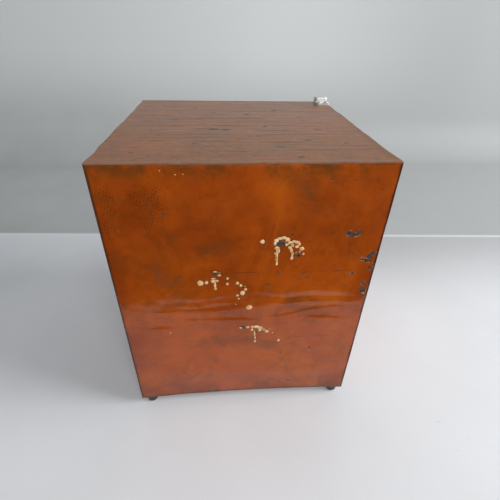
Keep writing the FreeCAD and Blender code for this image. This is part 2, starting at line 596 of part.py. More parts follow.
def pull_plate():
    """Enamelled plate in front of the movement, seen through the window."""
    plate = rounded(-84, 84, PULL_PLATE_Y, PULL_PLATE_Y + PULL_PLATE_T, 196, 352, 6.0)
    return cut(plate, rod(6.0, PULL_PLATE_Y - 1, PULL_PLATE_Y + 3, *LEVER))


SECTOR_Y = (-64.0, -58.0)
GRIP_REACH, ARM_Y, GRIP_END_Y = 80.0, (-103.0, -98.0), -138.0


def pull_lever():
    """Pull arm in front, shaft through both plates, and the toothed sector between them."""
    radius = SECTOR_M * SECTOR_N / 2
    first = -math.ceil(10 * SECTOR_N / 360)
    count = math.ceil(72 * SECTOR_N / 360)
    edge = tooth_points(SECTOR_M, SECTOR_N, LEVER, SECTOR_TO_ARBOR, first, count)
    start = SECTOR_TO_ARBOR + first * 360 / SECTOR_N - 2.5
    stop = SECTOR_TO_ARBOR + (first + count - 1) * 360 / SECTOR_N + 2.5
    rim = [polar(LEVER, radius - 2.2, start)] + edge + [polar(LEVER, radius - 2.2, stop)]
    inner = [polar(LEVER, radius - 9, stop + (start - stop) * k / 12) for k in range(13)]
    pieces = [slab(rim + inner, *SECTOR_Y)]
    for angle in (start + 6, stop - 6):
        arm = box(0, radius - 6, SECTOR_Y[0], SECTOR_Y[1], -4, 4)
        arm.rotate(V(0, 0, 0), Y_AXIS, -angle)
        arm.translate(V(LEVER[0], 0, LEVER[1]))
        pieces.append(arm)
    pieces.append(rod(9.0, SECTOR_Y[0], SECTOR_Y[1], *LEVER))
    pieces.append(rod(ARBORS[LEVER], ARM_Y[0] - 2, BACK_PLATE_Y + MOVE_T + 1, *LEVER))
    pieces.append(rod(12.0, *ARM_Y, *LEVER))
    end = (LEVER[0] + GRIP_REACH, LEVER[1])
    pieces.append(box(LEVER[0], end[0], *ARM_Y, LEVER[1] - 6, LEVER[1] + 6))
    pieces.append(rod(9.0, *ARM_Y, *end))
    pieces.append(rod(3.0, GRIP_END_Y, ARM_Y[0], *end))
    return fuse(*pieces)


def pull_grip():
    """Turned grip on the lever's end, held by its spindle."""
    end = (LEVER[0] + GRIP_REACH, LEVER[1])
    outline = [(3.0, -103.3), (8.0, -103.3), (9.5, -107), (8.0, -113), (9.5, -120), (12.0, -127), (12.0, -132),
               (9.0, -136.5), (3.0, -137.5)]
    return revolve_y(outline, *end)


ARBOR_Y = (FRONT_PLATE_Y - 1, BACK_PLATE_Y + MOVE_T + 1)
RATCHET_Y = (-56.0, -54.0)
RATCHET_N, RATCHET_R, RATCHET_ROOT = 18, 12.0, 10.0


def winding_arbor():
    """Arbor with the sector's pinion and the ratchet wheel."""
    phase = SECTOR_TO_ARBOR + 180 + 180 / PINION_N
    pinion = gear(SECTOR_M, PINION_N, ARBOR, phase, SECTOR_Y[0] - 0.5, SECTOR_Y[1] + 0.5)
    step = 360.0 / RATCHET_N
    teeth = []
    for k in range(RATCHET_N):
        teeth += [polar(ARBOR, RATCHET_R, k * step), polar(ARBOR, RATCHET_ROOT, k * step + 1.5)]
    return fuse(pinion, slab(teeth, *RATCHET_Y), rod(ARBORS[ARBOR], *ARBOR_Y, *ARBOR))


WHEEL_Y, BARREL_Y = (-48.0, -45.0), (-45.0, -31.0)
BARREL_R = 30.0
CLICK = polar(ARBOR, 24.0, 150.0)


def great_wheel():
    """Great wheel and spring barrel in one, free on the arbor, with the click's stud."""
    wheel = gear(WHEEL_M, WHEEL_N, ARBOR, ARBOR_TO_CODE, *WHEEL_Y)
    barrel = rod(BARREL_R, BARREL_Y[0], BARREL_Y[1], *ARBOR)
    hollow = rod(BARREL_R - 1.5, BARREL_Y[0] + 1, BARREL_Y[1] - 1.5, *ARBOR)
    stud = rod(2.0, RATCHET_Y[0] - 1, WHEEL_Y[0], *CLICK)
    bore = rod(ARBORS[ARBOR] + RUN, WHEEL_Y[0] - 1, BARREL_Y[1] + 1, *ARBOR)
    return cut(fuse(wheel, barrel, stud), hollow, bore)


def click():
    """Pawl that rides over the ratchet, shown just clear of the teeth."""
    tip = polar(ARBOR, RATCHET_R + 0.3, 205.0)
    heel = polar(ARBOR, RATCHET_R + 3.6, 203.0)
    hub = rod(4.5, *RATCHET_Y, *CLICK)
    finger = slab([(CLICK[0] - 4, CLICK[1]), (CLICK[0] + 3, CLICK[1] - 1), tip, heel], *RATCHET_Y)
    return cut(fuse(hub, finger), rod(2.0, RATCHET_Y[0] - 1, RATCHET_Y[1] + 1, *CLICK))


def mainspring():
    """Spiral spring in the barrel, about four turns of flat strip."""
    turns, r0, r1, thick = 4.0, 8.0, 27.0, 1.0
    steps = int(turns * 16)
    outer, inner = [], []
    for k in range(steps + 1):
        r, a = r0 + (r1 - r0) * k / steps, 360.0 * turns * k / steps
        outer.append(polar(ARBOR, r + thick / 2, a))
        inner.append(polar(ARBOR, r - thick / 2, a))
    return slab(outer + inner[::-1], BARREL_Y[0] + 2, BARREL_Y[1] - 2.5)


CODE_Y, SECOND_Y = (-62.0, -59.0), (-29.5, -27.5)


def code_wheel():
    """Code wheel on its arbor, with the pinion and the second wheel."""
    notches = 20
    step = 360.0 / notches
    rim = []
    for k in range(notches):
        low = CODE_R - (3.0 if k % 5 != 4 else 0.0)
        for r, a in ((CODE_R, 0.0), (CODE_R, 0.5), (low, 0.62), (low, 0.88)):
            rim.append(polar(CODE, r, (k + a) * step + 180 - 0.25 * step))
    disc = spoked(slab(rim, *CODE_Y), CODE, CODE_R - 7, 8.0, 5, *CODE_Y)
    phase = ARBOR_TO_CODE + 180 + 180 / PINION_N
    pinion = gear(WHEEL_M, PINION_N, CODE, phase, WHEEL_Y[0] - 1, WHEEL_Y[1] + 1)
    second = spoked(gear(SECOND_M, SECOND_N, CODE, CODE_TO_FLY, *SECOND_Y), CODE, 20.0, 5.5, 5, *SECOND_Y)
    return fuse(rod(ARBORS[CODE], *ARBOR_Y, *CODE), disc, pinion, second)


def governor():
    """Two-vaned fly on its pinion arbor."""
    phase = CODE_TO_FLY + 180 + 180 / FLY_PINION_N
    pinion = gear(SECOND_M, FLY_PINION_N, FLY, phase, SECOND_Y[0] - 0.5, SECOND_Y[1] + 0.5)
    vanes = box(FLY[0] - FLY_R, FLY[0] + FLY_R, -56, -35, FLY[1] - 0.6, FLY[1] + 0.6)
    hub = rod(3.0, -57, -34, *FLY)
    return fuse(rod(ARBORS[FLY], *ARBOR_Y, *FLY), pinion, vanes, hub)


def contact_lever():
    """Follower that the code wheel rocks, its upper end closing on the spring blade."""
    x, z = CONTACT
    nose = CODE[0] - CODE_R - 0.35
    arm = slab([(x - 2.5, z), (x + 2.5, z), (x + 2.5, CODE[1] - 3), (nose, CODE[1]), (x + 2.5, CODE[1] + 3),
                (x + 2.0, 256), (x - 2.5, 256)], -63.0, -58.5)
    hub = rod(5.0, -63.0, -58.5, x, z)
    button = Part.makeCylinder(1.8, 2.0, V(x - 4.5, -60.75, 252), X_AXIS)
    return cut(fuse(arm, hub, button), rod(2.0 + RUN, -64, -57, x, z))


def contact_block():
    """Stud for the lever, and the bracket with its contact blade."""
    x, z = CONTACT
    stud = rod(2.0, FRONT_PLATE_Y + MOVE_T, -57.5, x, z)
    bracket = box(x - 22, x - 6.8, FRONT_PLATE_Y + MOVE_T, -54, 210, 222)
    blade = box(x - 7.6, x - 6.8, -64, -57, 222, 258)
    return [stud, fuse(bracket, blade)]


# ---- bell ---------------------------------------------------------------------------------------
GONG_X, GONG_Z, GONG_R = -85.0, 120.0, 42.0
GONG_RIM_Y, GONG_TOP_Y = -36.0, -62.0
BELL_PIVOT = (-96.5, 30.0)
STRIKER_GAP, STRIKER_AT = 8.3, math.radians(225)  # striker's centre outside the gong's rim, and its direction


def bell_gong():
    """Domed gong, open towards the board."""
    outer, inner = [], []
    depth = GONG_RIM_Y - GONG_TOP_Y
    for k in range(13):
        a = math.radians(90.0 * k / 12)
        outer.append((GONG_R * math.sin(a), GONG_RIM_Y - depth * math.cos(a)))
        inner.append(((GONG_R - 2.5) * math.sin(a), GONG_RIM_Y - (depth - 2.5) * math.cos(a)))
    shell = revolve_y(outer + inner[::-1], GONG_X, GONG_Z)
    return shell.cut(rod(3.1, GONG_TOP_Y - 1, GONG_TOP_Y + 5, GONG_X, GONG_Z))


def gong_post():
    seat = GONG_TOP_Y + 2.8
    stem = fuse(rod(8.0, BOARD_Y - 4, BOARD_Y, GONG_X, GONG_Z), rod(5.0, seat, BOARD_Y - 4, GONG_X, GONG_Z),
                rod(3.0, GONG_TOP_Y - 6, seat, GONG_X, GONG_Z))
    nut = hexagon(10.0, 4.5, V(GONG_X, GONG_TOP_Y, GONG_Z), V(0, -1, 0))
    return [stem, nut.cut(rod(3.0, GONG_TOP_Y - 7, GONG_TOP_Y + 1, GONG_X, GONG_Z))]


COIL_Z, COIL_Y, COIL_X0, COIL_X1 = (39.5, 60.5), -26.0, -89.0, -49.0


def bell_frame():
    """Base, yoke and the armature's pivot ears."""
    base = box(-132, COIL_X1 + 4, BOARD_Y - 4, BOARD_Y, 24, 72)
    yoke = box(COIL_X1, COIL_X1 + 4, -40, BOARD_Y - 4, 27, 72)
    x, z = BELL_PIVOT
    ears = [box(x - 5, x + 5, y, y + 2.5, 24, 36) for y in (-37.0, -17.5)]
    foot = box(x - 5, x + 5, -37.0, BOARD_Y - 4, 24, 26)
    return fuse(base, yoke, *ears, foot, rod(1.5, -37.0, -15.0, x, z))


def bell_coils():
    pieces = []
    for z in COIL_Z:
        def turned(r, x0, x1):
            return Part.makeCylinder(r, x1 - x0, V(x0, COIL_Y, z), X_AXIS)
        pieces.append(fuse(turned(9.8, COIL_X0, COIL_X0 + 2), turned(9.0, COIL_X0 + 2, COIL_X1 - 2),
                           turned(9.8, COIL_X1 - 2, COIL_X1), turned(4.0, COIL_X0 - 4, COIL_X0)))
    return pieces


def bell_hammer():
    """Armature, rod and striker in one."""
    x, z = BELL_PIVOT
    bar = cut(box(x - 2, x + 2, -34.3, -17.7, z - 3, 70), rod(1.5 + RUN, -35, -17, x, z))
    reach = GONG_R + STRIKER_GAP
    ball = V(GONG_X + reach * math.cos(STRIKER_AT), COIL_Y - 16, GONG_Z + reach * math.sin(STRIKER_AT))
    stem = lead([(x, COIL_Y, 66), (x - 6, COIL_Y - 16, 76), tuple(ball)], 1.6)
    striker = rod(6.0, ball.y - 5, ball.y + 5, ball.x, ball.z)
    striker = striker.makeFillet(2.5, [e for e in striker.Edges if e.Length > 30])
    return fuse(bar, stem, striker)


# ---- electrical fittings ------------------------------------------------------------------------
TERMINALS = [(x, z) for z in (114.0, 138.0, 162.0, 186.0) for x in (106.0, 134.0)]


def terminal_block():
    """Moulded strip with barriers between the ways."""
    block = rounded(92, 148, BOARD_Y - 12, BOARD_Y, 100, 200, 3.0)
    heights = (101.5, 126, 150, 174, 198.5)
    walls = [box(92, 148, BOARD_Y - 20, BOARD_Y - 12, z - 1.5, z + 1.5) for z in heights]
    spine = box(118.5, 121.5, BOARD_Y - 20, BOARD_Y - 12, 100, 200)
    return fuse(block, *walls, spine)


def terminal_screws():
    pieces = []
    for x, z in TERMINALS:
        seat = BOARD_Y - 14
        pad = box(x - 8, x + 8, seat, BOARD_Y - 12, z - 7, z + 7)
        pieces.append(fuse(screw_y(x, z, seat, BOARD_Y - 12, 2.5, 5.0, 3.5), pad))
    return pieces


def arrester_base():
    return rounded(94, 146, BOARD_Y - 14, BOARD_Y, 240, 330, 6.0)


def arrester_plates():
    """Two saw-edged line plates and the earth plate between them, each with its screws."""
    y0, y1 = BOARD_Y - 17, BOARD_Y - 14
    teeth = 8
    pieces = []
    for side, x_edge in ((-1, 98.0), (1, 142.0)):
        tip, root = 120 + side * 6.5, 120 + side * 9.5
        saw = []
        for k in range(teeth):
            z = 248 + 74.0 * k / teeth
            saw += [(root, z), (tip, z + 37.0 / teeth)]
        pieces.append(slab([(x_edge, 248)] + saw + [(root, 322), (x_edge, 322)], y0, y1))
    pieces.append(box(114.5, 125.5, y0, y1, 246, 324))
    pieces += [revolve_y([(0, y0), (3.8, y0), (3.8, y0 - 1.6), (3.0, y0 - 2.4), (0, y0 - 2.4)], x, z)
               for x in (105.0, 120.0, 135.0) for z in (256.0, 314.0)]
    return pieces


KEY_X, KEY_Y, KEY_Z = 70.0, -70.0, 47.0


def key_block():
    return rounded(40, 100, -126, -30, PLATE, 30, 4.0, "Z")


def key_base():
    """Base plate, trunnion posts with the pivot pin, front anvil and back stop."""
    plate = rounded(45, 95, -122, -35, 30, 33, 4.0, "Z")
    posts = [box(x - 3, x + 3, KEY_Y - 5, KEY_Y + 5, 33, 52) for x in (KEY_X - 9, KEY_X + 9)]
    pin = Part.makeCylinder(2.0, 24, V(KEY_X - 12, KEY_Y, KEY_Z), X_AXIS)
    anvil = fuse(post(3.5, 33, 40, KEY_X, -95), post(2.0, 40, 41.9, KEY_X, -95))
    stop = post(3.0, 33, 42.95, KEY_X, -45)
    return fuse(plate, *posts, pin, anvil, stop)


def key_lever():
    """Key lever on its pin; the finger knob's stem is part of it."""
    bar = rounded(KEY_X - 4, KEY_X + 4, -122, -40, 43, 51, 2.0)
    return cut(fuse(bar, post(3.0, 51, 56, KEY_X, -112)),
               Part.makeCylinder(2.0 + RUN, 30, V(KEY_X - 15, KEY_Y, KEY_Z), X_AXIS))


def key_knob():
    disc = post(13.0, 56, 63, KEY_X, -112)
    return disc.makeFillet(2.5, [e for e in disc.Edges if e.Length > 50])


def lead(points, r):
    """A bent round wire: straight runs joined by tangent arcs."""
    corners = [V(*p) for p in points]
    edges, start = [], corners[0]
    for before, at, after in zip(corners, corners[1:], corners[2:]):
        a, b = before - at, after - at
        turn = math.pi - a.getAngle(b)
        back = 0.45 * min(a.Length, b.Length)
        u, w = a.normalize(), b.normalize()
        p, q = at + u * back, at + w * back
        middle = (u + w).normalize()
        radius = back / math.tan(turn / 2)
        far = at + middle * (radius / math.cos(turn / 2) - radius)
        edges += [Part.LineSegment(start, p).toShape(), Part.Arc(p, far, q).toShape()]
        start = q
    edges.append(Part.LineSegment(start, corners[-1]).toShape())
    path = Part.Wire(edges)
    section = Part.Wire(Part.Circle(corners[0], (corners[1] - corners[0]), r).toShape())
    return path.makePipeShell([section], True, False)


LEAD_R = 1.5


def wiring_leads():
    """Cloth-covered leads from the terminals to the bell, key, contact, arrester and cells."""
    out = BOARD_Y - 12 - LEAD_R  # over the terminal block's face
    flat = BOARD_Y - LEAD_R  # against the board
    line = BOARD_Y - 14 - LEAD_R  # over the arrester's face
    return [
        lead([(98, out, 114), (86, out, 113), (72, -10, 108), (48, flat, 92), (14, flat, 74), (-16, flat, 62),
              (-45, flat, 60)], LEAD_R),
        lead([(98, out, 138), (86, out, 135), (80, -12, 118), (78, -8, 90), (76, -8, 60), (72, -14, 34),
              (70, -30, 22)], LEAD_R),
        lead([(98, out, 162), (85, out, 163), (66, -10, 166), (32, -8, 172), (-2, -9, 178), (-26, -18, 183),
              (-37, -38, 188), (-40, -56, 195), (-40, -60, 210)], LEAD_R),
        lead([(120, -10, 100), (120, -8, 82), (104, flat, 60), (72, flat, 44), (42, flat, 31), (22, flat, 24.5),
              (15, 5, 24), (19, 18, 28), (26, 29, 48), (34, 33, 80), (54, 36, 116), (80, 44, 150), (95, 62, 166),
              (96, CELL_Y - 6, 168.5)], LEAD_R),
        lead([(98, out, 186), (87, out, 188), (80, -12, 204), (80, -12, 238), (86, line, 258),
              (98, line, 264)], LEAD_R),
        lead([(142, out, 186), (152, out, 188), (159, -12, 204), (159, -12, 238), (153, line, 258),
              (142, line, 264)], LEAD_R),
    ]


# ---- build --------------------------------------------------------------------------------------
def parts():
    return {
        "rear_panel": rear_panel(),
        "side_panel_left": side_panel(-1),
        "side_panel_right": side_panel(1),
        "top_cover": top_cover(),
        "base_pan": base_pan(),
        "door_frame": door_frame(),
        "door_seal": door_seal(),
        "rubber_feet": [foot(x, y) for x, y in FEET],
        "case_screws": [s for x, y in FEET for s in foot_screw(x, y)] + hinge_screws(),
        "hinge_block_top": hinge_block_top(),
        "hinge_plate_bottom": hinge_plate_bottom(),
        "hinge_pins": hinge_pins(),
        "hinge_leaves": hinge_leaves(),
        "door_panel": door_panel(),
        "window_bezel": window_bezel(),
        "window_gasket": window_gasket(),
        "window_glass": window_glass(),
        "glass_retainer": glass_retainer(),
        "door_screws": door_screws(),
        "instruction_plate": instruction_plate(),
        "lock_escutcheon": lock_escutcheon(),
        "lock_case": lock_case(),
        "keyhole_cover": keyhole_cover(),
        "door_handle": door_handle(),
        "latch_cam": latch_cam(),
        "hammer_clips": hammer_clips(),
        "break_hammer": break_hammer(),
        "board_rails": board_rails(),
        "mechanism_board": mechanism_board(),
        "board_screws": board_screws() + terminal_screws(),
        "battery_tray": battery_tray(),
        "battery_cells": battery_cells(),
        "battery_terminals": battery_terminals(),
        "cable_gland": cable_gland(),
        "movement_plates": [movement_plate(y) for y in (FRONT_PLATE_Y, BACK_PLATE_Y)],
        "movement_pillars": movement_pillars(),
        "pull_plate": pull_plate(),
        "pull_lever": pull_lever(),
        "pull_grip": pull_grip(),
        "winding_arbor": winding_arbor(),
        "great_wheel": great_wheel(),
        "click": click(),
        "mainspring": mainspring(),
        "code_wheel": code_wheel(),
        "governor": governor(),
        "contact_lever": contact_lever(),
        "contact_block": contact_block(),
        "bell_gong": bell_gong(),
        "gong_post": gong_post(),
        "bell_frame": bell_frame(),
        "bell_coils": bell_coils(),
        "bell_hammer": bell_hammer(),
        "terminal_block": terminal_block(),
        "arrester_base": arrester_base(),
        "arrester_plates": arrester_plates(),
        "wiring_leads": wiring_leads(),
        "key_block": key_block(),
        "key_base": key_base(),
        "key_lever": key_lever(),
        "key_knob": key_knob(),
    }


def main():
    os.makedirs("parts", exist_ok=True)
    for name, made in parts().items():
        shape = Part.makeCompound(made) if isinstance(made, list) else made
        for solid in shape.Solids:
            if not solid.isValid() or solid.Volume <= 0:
                print("not a good solid in", name)
        shape.exportStep(os.path.join("parts", name + ".step"))


main()
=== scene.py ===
"""Looks of the street fire alarm box: beaten enamelled sheets, metals, board, cells and the studio."""

import json
import math

import bmesh
import bpy
from mathutils import Matrix, Vector, noise


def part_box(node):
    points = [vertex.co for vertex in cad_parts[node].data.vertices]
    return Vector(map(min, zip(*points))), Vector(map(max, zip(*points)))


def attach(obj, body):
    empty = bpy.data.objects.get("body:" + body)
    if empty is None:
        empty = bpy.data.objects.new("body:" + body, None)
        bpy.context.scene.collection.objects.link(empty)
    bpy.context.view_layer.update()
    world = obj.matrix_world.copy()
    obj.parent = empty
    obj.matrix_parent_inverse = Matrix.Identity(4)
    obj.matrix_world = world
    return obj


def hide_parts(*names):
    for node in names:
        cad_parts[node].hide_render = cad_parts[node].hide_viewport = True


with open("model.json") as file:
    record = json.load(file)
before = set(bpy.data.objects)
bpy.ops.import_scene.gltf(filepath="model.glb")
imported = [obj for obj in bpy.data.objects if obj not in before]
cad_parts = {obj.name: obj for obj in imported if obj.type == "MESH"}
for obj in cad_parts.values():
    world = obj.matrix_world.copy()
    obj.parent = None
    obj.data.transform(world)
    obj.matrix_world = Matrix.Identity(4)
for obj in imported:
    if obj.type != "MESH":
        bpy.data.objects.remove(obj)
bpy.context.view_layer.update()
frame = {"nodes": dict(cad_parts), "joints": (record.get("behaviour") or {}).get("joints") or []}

nodes = frame["nodes"]
MM = 0.001

COVER_LIP = 16 * MM  # how far the cover's folded lip hangs below its sheet
cover_low, cover_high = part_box("top_cover")
WIDTH = cover_high.x - cover_low.x
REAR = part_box("rear_panel")[1].y
TOP = cover_high.z
EAVES = cover_low.z + COVER_LIP  # underside of the cover's sheet
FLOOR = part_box("rubber_feet")[0].z


# ---- camera -------------------------------------------------------------------------------------
def add_camera():
    """Stands behind the box, above its right rear corner, looking down."""
    pitch, yaw, roll = math.radians(33.76), math.radians(5.35), math.radians(1.53)
    ahead = Vector((-math.sin(yaw) * math.cos(pitch), -math.cos(yaw) * math.cos(pitch), -math.sin(pitch)))
    side = ahead.cross(Vector((0, 0, 1))).normalized()
    up = side.cross(ahead)
    side, up = math.cos(roll) * side + math.sin(roll) * up, math.cos(roll) * up - math.sin(roll) * side
    turn = Matrix((side, up, -ahead)).transposed().to_4x4()
    camera = bpy.data.objects.new("camera", bpy.data.cameras.new("camera"))
    camera.matrix_world = Matrix.Translation((0.085 * WIDTH, REAR + 1.021 * WIDTH, 1.549 * WIDTH)) @ turn
    camera.data.lens = 24.55
    camera.data.clip_start = 0.01
    bpy.context.collection.objects.link(camera)
    bpy.context.scene.camera = camera


# ---- node helpers -------------------------------------------------------------------------------
class Finish:
    """One material and the few node moves that all the finishes share."""

    def __init__(self, name, **sockets):
        self.material = bpy.data.materials.new(name)
        self.material.use_nodes = True
        self.tree = self.material.node_tree
        self.shader = self.tree.nodes["Principled BSDF"]
        self.place = self.add("ShaderNodeTexCoord").outputs["Object"]
        self.put(self.shader, **sockets)

    def add(self, kind, **settings):
        node = self.tree.nodes.new(kind)
        for key, value in settings.items():
            setattr(node, key, value)
        return node

    def put(self, node, **values):
        """Sets or links inputs; an underscore in a name stands for a space."""
        for key, value in values.items():
            socket = node.inputs[int(key[1:])] if key[1:].isdigit() else node.inputs[key.replace("_", " ")]
            if isinstance(value, bpy.types.NodeSocket):
                self.tree.links.new(value, socket)
            else:
                socket.default_value = value
        return node

    def stretch(self, scale, location=(0, 0, 0), rotation=(0, 0, 0), source=None):
        node = self.add("ShaderNodeMapping")
        self.put(node, Vector=source or self.place, Scale=scale, Location=location, Rotation=rotation)
        return node.outputs["Vector"]

    def grain(self, scale, detail=4.0, roughness=0.55, distortion=0.0, source=None):
        node = self.add("ShaderNodeTexNoise")
        self.put(node, Vector=source or self.place, Scale=scale, Detail=detail, Roughness=roughness,
                 Distortion=distortion)
        return node.outputs["Fac"]

    def noise_colour(self, scale):
        """Three noises less a half, as a vector, to shift places by."""
        node = self.add("ShaderNodeTexNoise")
        self.put(node, Vector=self.place, Scale=scale, Detail=2.0)
        centred = self.add("ShaderNodeVectorMath", operation="SUBTRACT")
        self.put(centred, _0=node.outputs["Color"], _1=(0.5, 0.5, 0.5))
        return centred.outputs["Vector"]

    def cells(self, scale, feature="F1", randomness=1.0, source=None, output="Distance"):
        node = self.add("ShaderNodeTexVoronoi", feature=feature)
        self.put(node, Vector=source or self.place, Scale=scale, Randomness=randomness)
        return node.outputs[output]

    def ramp(self, value, low, high, start=0.0, end=1.0, smooth=True):
        node = self.add("ShaderNodeMapRange", interpolation_type="SMOOTHSTEP" if smooth else "LINEAR")
        self.put(node, Value=value, From_Min=low, From_Max=high, To_Min=start, To_Max=end)
        return node.outputs["Result"]

    def math(self, operation, a, b=0.0, clamp=False):
        node = self.add("ShaderNodeMath", operation=operation, use_clamp=clamp)
        self.put(node, _0=a, _1=b)
        return node.outputs["Value"]

    def times(self, *values):
        product = values[0]
        for value in values[1:]:
            product = self.math("MULTIPLY", product, value)
        return product

    def most(self, *values):
        result = values[0]
        for value in values[1:]:
            result = self.math("MAXIMUM", result, value)
        return result

    def blend(self, amount, below, above):
        """Colour below where amount is 0, above where it is 1."""
        node = self.add("ShaderNodeMix", data_type="RGBA")
        self.put(node, _0=amount, _6=below, _7=above)
        return node.outputs[2]

    def between(self, amount, low, high):
        """Number low where amount is 0, high where it is 1."""
        return self.ramp(amount, 0.0, 1.0, low, high, smooth=False)

    def axes(self, source=None):
        node = self.add("ShaderNodeSeparateXYZ")
        self.put(node, Vector=source or self.place)
        return node.outputs["X"], node.outputs["Y"], node.outputs["Z"]

    def relief(self, height, depth, under=None):
        """A bump of that depth in metres; under is a finer or coarser one to add to."""
        node = self.add("ShaderNodeBump")
        self.put(node, Height=height, Distance=depth, Strength=1.0)
        if under:
            self.put(node, Normal=under)
        return node.outputs["Normal"]

    def done(self, **sockets):
        self.put(self.shader, **sockets)
        return self.material


def rgb(red, green, blue):
    return (red, green, blue, 1.0)


# ---- finishes -----------------------------------------------------------------------------------
def enamel(name, marks=None):
    """Old orange enamel over steel: clouds, smears, olive grime, scratches and fine chips."""
    f = Finish(name, Specular_IOR_Level=0.38, Coat_Weight=0.28, Coat_Roughness=0.07, Coat_IOR=1.45)
    cloud = f.grain(8.0, 6.0, 0.65)
    colour = f.blend(f.ramp(cloud, 0.32, 0.68), rgb(0.235, 0.035, 0.0008), rgb(0.405, 0.070, 0.0010))
    smears = f.grain(9.0, 6.0, 0.65, 1.2, f.stretch((1.0, 1.0, 0.45), rotation=(0, 0.7, 0)))
    colour = f.blend(f.times(f.ramp(smears, 0.50, 0.68), 0.45), colour, rgb(0.48, 0.098, 0.0015))
    grime = f.ramp(f.grain(13.0, 9.0, 0.72, 0.8), 0.47, 0.70)
    colour = f.blend(f.times(grime, 0.66), colour, rgb(0.12, 0.034, 0.002))
    faint = f.ramp(f.grain(36.0, 7.0, 0.84, 0.5), 0.50, 0.70)
    colour = f.blend(f.times(faint, 0.55), colour, rgb(0.13, 0.030, 0.002))
    rubbed = None
    for turn, where in (((0.3, 0.9, 0.2), 0.55), ((0.1, -0.6, 0.5), 0.57), ((0.6, 1.4, 0.9), 0.6)):
        strokes = f.cells(9.0, source=f.stretch((5.0, 5.0, 80.0), rotation=turn))
        line = f.times(f.ramp(strokes, 0.075, 0.03), f.ramp(f.grain(19.0, 3.0), where - 0.03, where + 0.04))
        rubbed = line if rubbed is None else f.most(rubbed, line)
    colour = f.blend(f.times(rubbed, 0.75), colour, rgb(0.09, 0.024, 0.005))
    chips = f.times(f.ramp(f.cells(70.0), 0.125, 0.09), f.ramp(f.grain(22.0, 3.0), 0.58, 0.66))
    bare = chips
    if marks:
        colour, bare, grime = marks(f, colour, chips, grime)
    steel = f.blend(f.ramp(f.grain(240.0), 0.35, 0.65), rgb(0.016, 0.014, 0.013), rgb(0.07, 0.062, 0.058))
    colour = f.blend(bare, colour, steel)
    fine = f.grain(60.0, 5.0, 0.6)
    rough = f.most(f.between(f.ramp(fine, 0.3, 0.8), 0.11, 0.20), f.times(grime, 0.36), f.times(bare, 0.55))
    peel = f.relief(f.grain(260.0, 2.0), 0.00004)
    dents = f.relief(f.grain(13.0, 3.0, 0.5), 0.0009, peel)
    pits = f.relief(f.math("SUBTRACT", 1.0, chips), 0.00025, dents)
    return f.done(Base_Color=colour, Roughness=rough, Normal=pits)


# Chips of the rear sheet down to steel: across, up, half width, half height, in millimetres.
REAR_CHIPS = [
    (-124, 314.7, 3.6, 2.6), (-128, 311.2, 4.6, 2.4), (-133, 311.2, 4.6, 2.4),
    (-137.5, 314.7, 3.2, 2.8), (-153, 274.2, 3.4, 2.2), (-158, 271.2, 2.6, 2.0),
    (-159, 278.2, 3.6, 3.4), (-163, 283.2, 3, 3.2), (-146, 278.2, 1.4, 1.1), (-141, 251.2, 4, 1.2),
    (-136, 249.2, 1.6, 1.0), (-165, 259.2, 3, 2), (-167, 265.2, 1.6, 2.4), (-160, 232.2, 2.6, 3.4),
    (-158.5, 225.2, 2.4, 2.2), (-162, 220.2, 3.2, 4.4), (-165, 212.2, 2.4, 2.6),
    (-64.7, 283.7, 4.6, 2.0), (-41.5, 300.7, 6.2, 3.6), (39, 256.2, 3.4, 2.4), (3, 158.2, 3.4, 2.2),
    (-15, 147.2, 3.6, 2.2), (-28, 150.2, 3, 1.6), (-31, 224.2, 1.6, 1.5), (-22, 254.2, 1.3, 1.2),
    (-43, 256.2, 2.6, 1.2), (-74, 253.2, 1.3, 1.3), (-121, 254.2, 1.1, 1.0), (-28, 236.2, 1.8, 1.3),
    (-80, 247.2, 1.4, 1.3), (-101, 107.2, 1.8, 1.7), (-79, 35, 1.7, 1.6), (22, 194.2, 1.1, 1.1),
    (-120, 260.2, 1.3, 1.0), (-95, 198.2, 1.2, 1.0), (-45, 27, 9, 0.8), (-58, 22, 8, 0.7),
    (-72, 25, 7, 0.8), (47, 4, 10, 1.8),
]
# Dark lines painted along creases of the rear sheet as shade in the creases: height, and where each starts
# and ends across, in metres.
CREASE_LINES = [(0.2560, 0.10, -0.15), (0.1950, 0.14, 0.02), (0.1225, 0.16, 0.01), (0.1330, -0.06, -0.14)]
# Chips and burns of the top cover: across, towards the rear, half width, half depth.
COVER_CHIPS = [
    (39, 31, 7, 3.5), (23, 34, 9, 3.5), (3, -10, 3, 2), (-42, 110, 7, 2.2), (-60, 149, 5, 2.4),
    (-107, 33, 6, 3), (60, 95, 4, 1.8), (-82, 84, 6, 1.6), (96, -22, 4, 3), (-14, -60, 5, 4),
    (-62, -92, 5, 4), (71, -105, 4, 3), (-128, 96, 3, 2), (-95, -40, 5, 3), (108, 60, 3, 1.6),
    (40, -70, 4, 2.4), (128, 131, 3, 1.4), (-20, 66, 3, 1.4), (-35, 15, 3, 3), (5, 128, 4, 1.2),
]


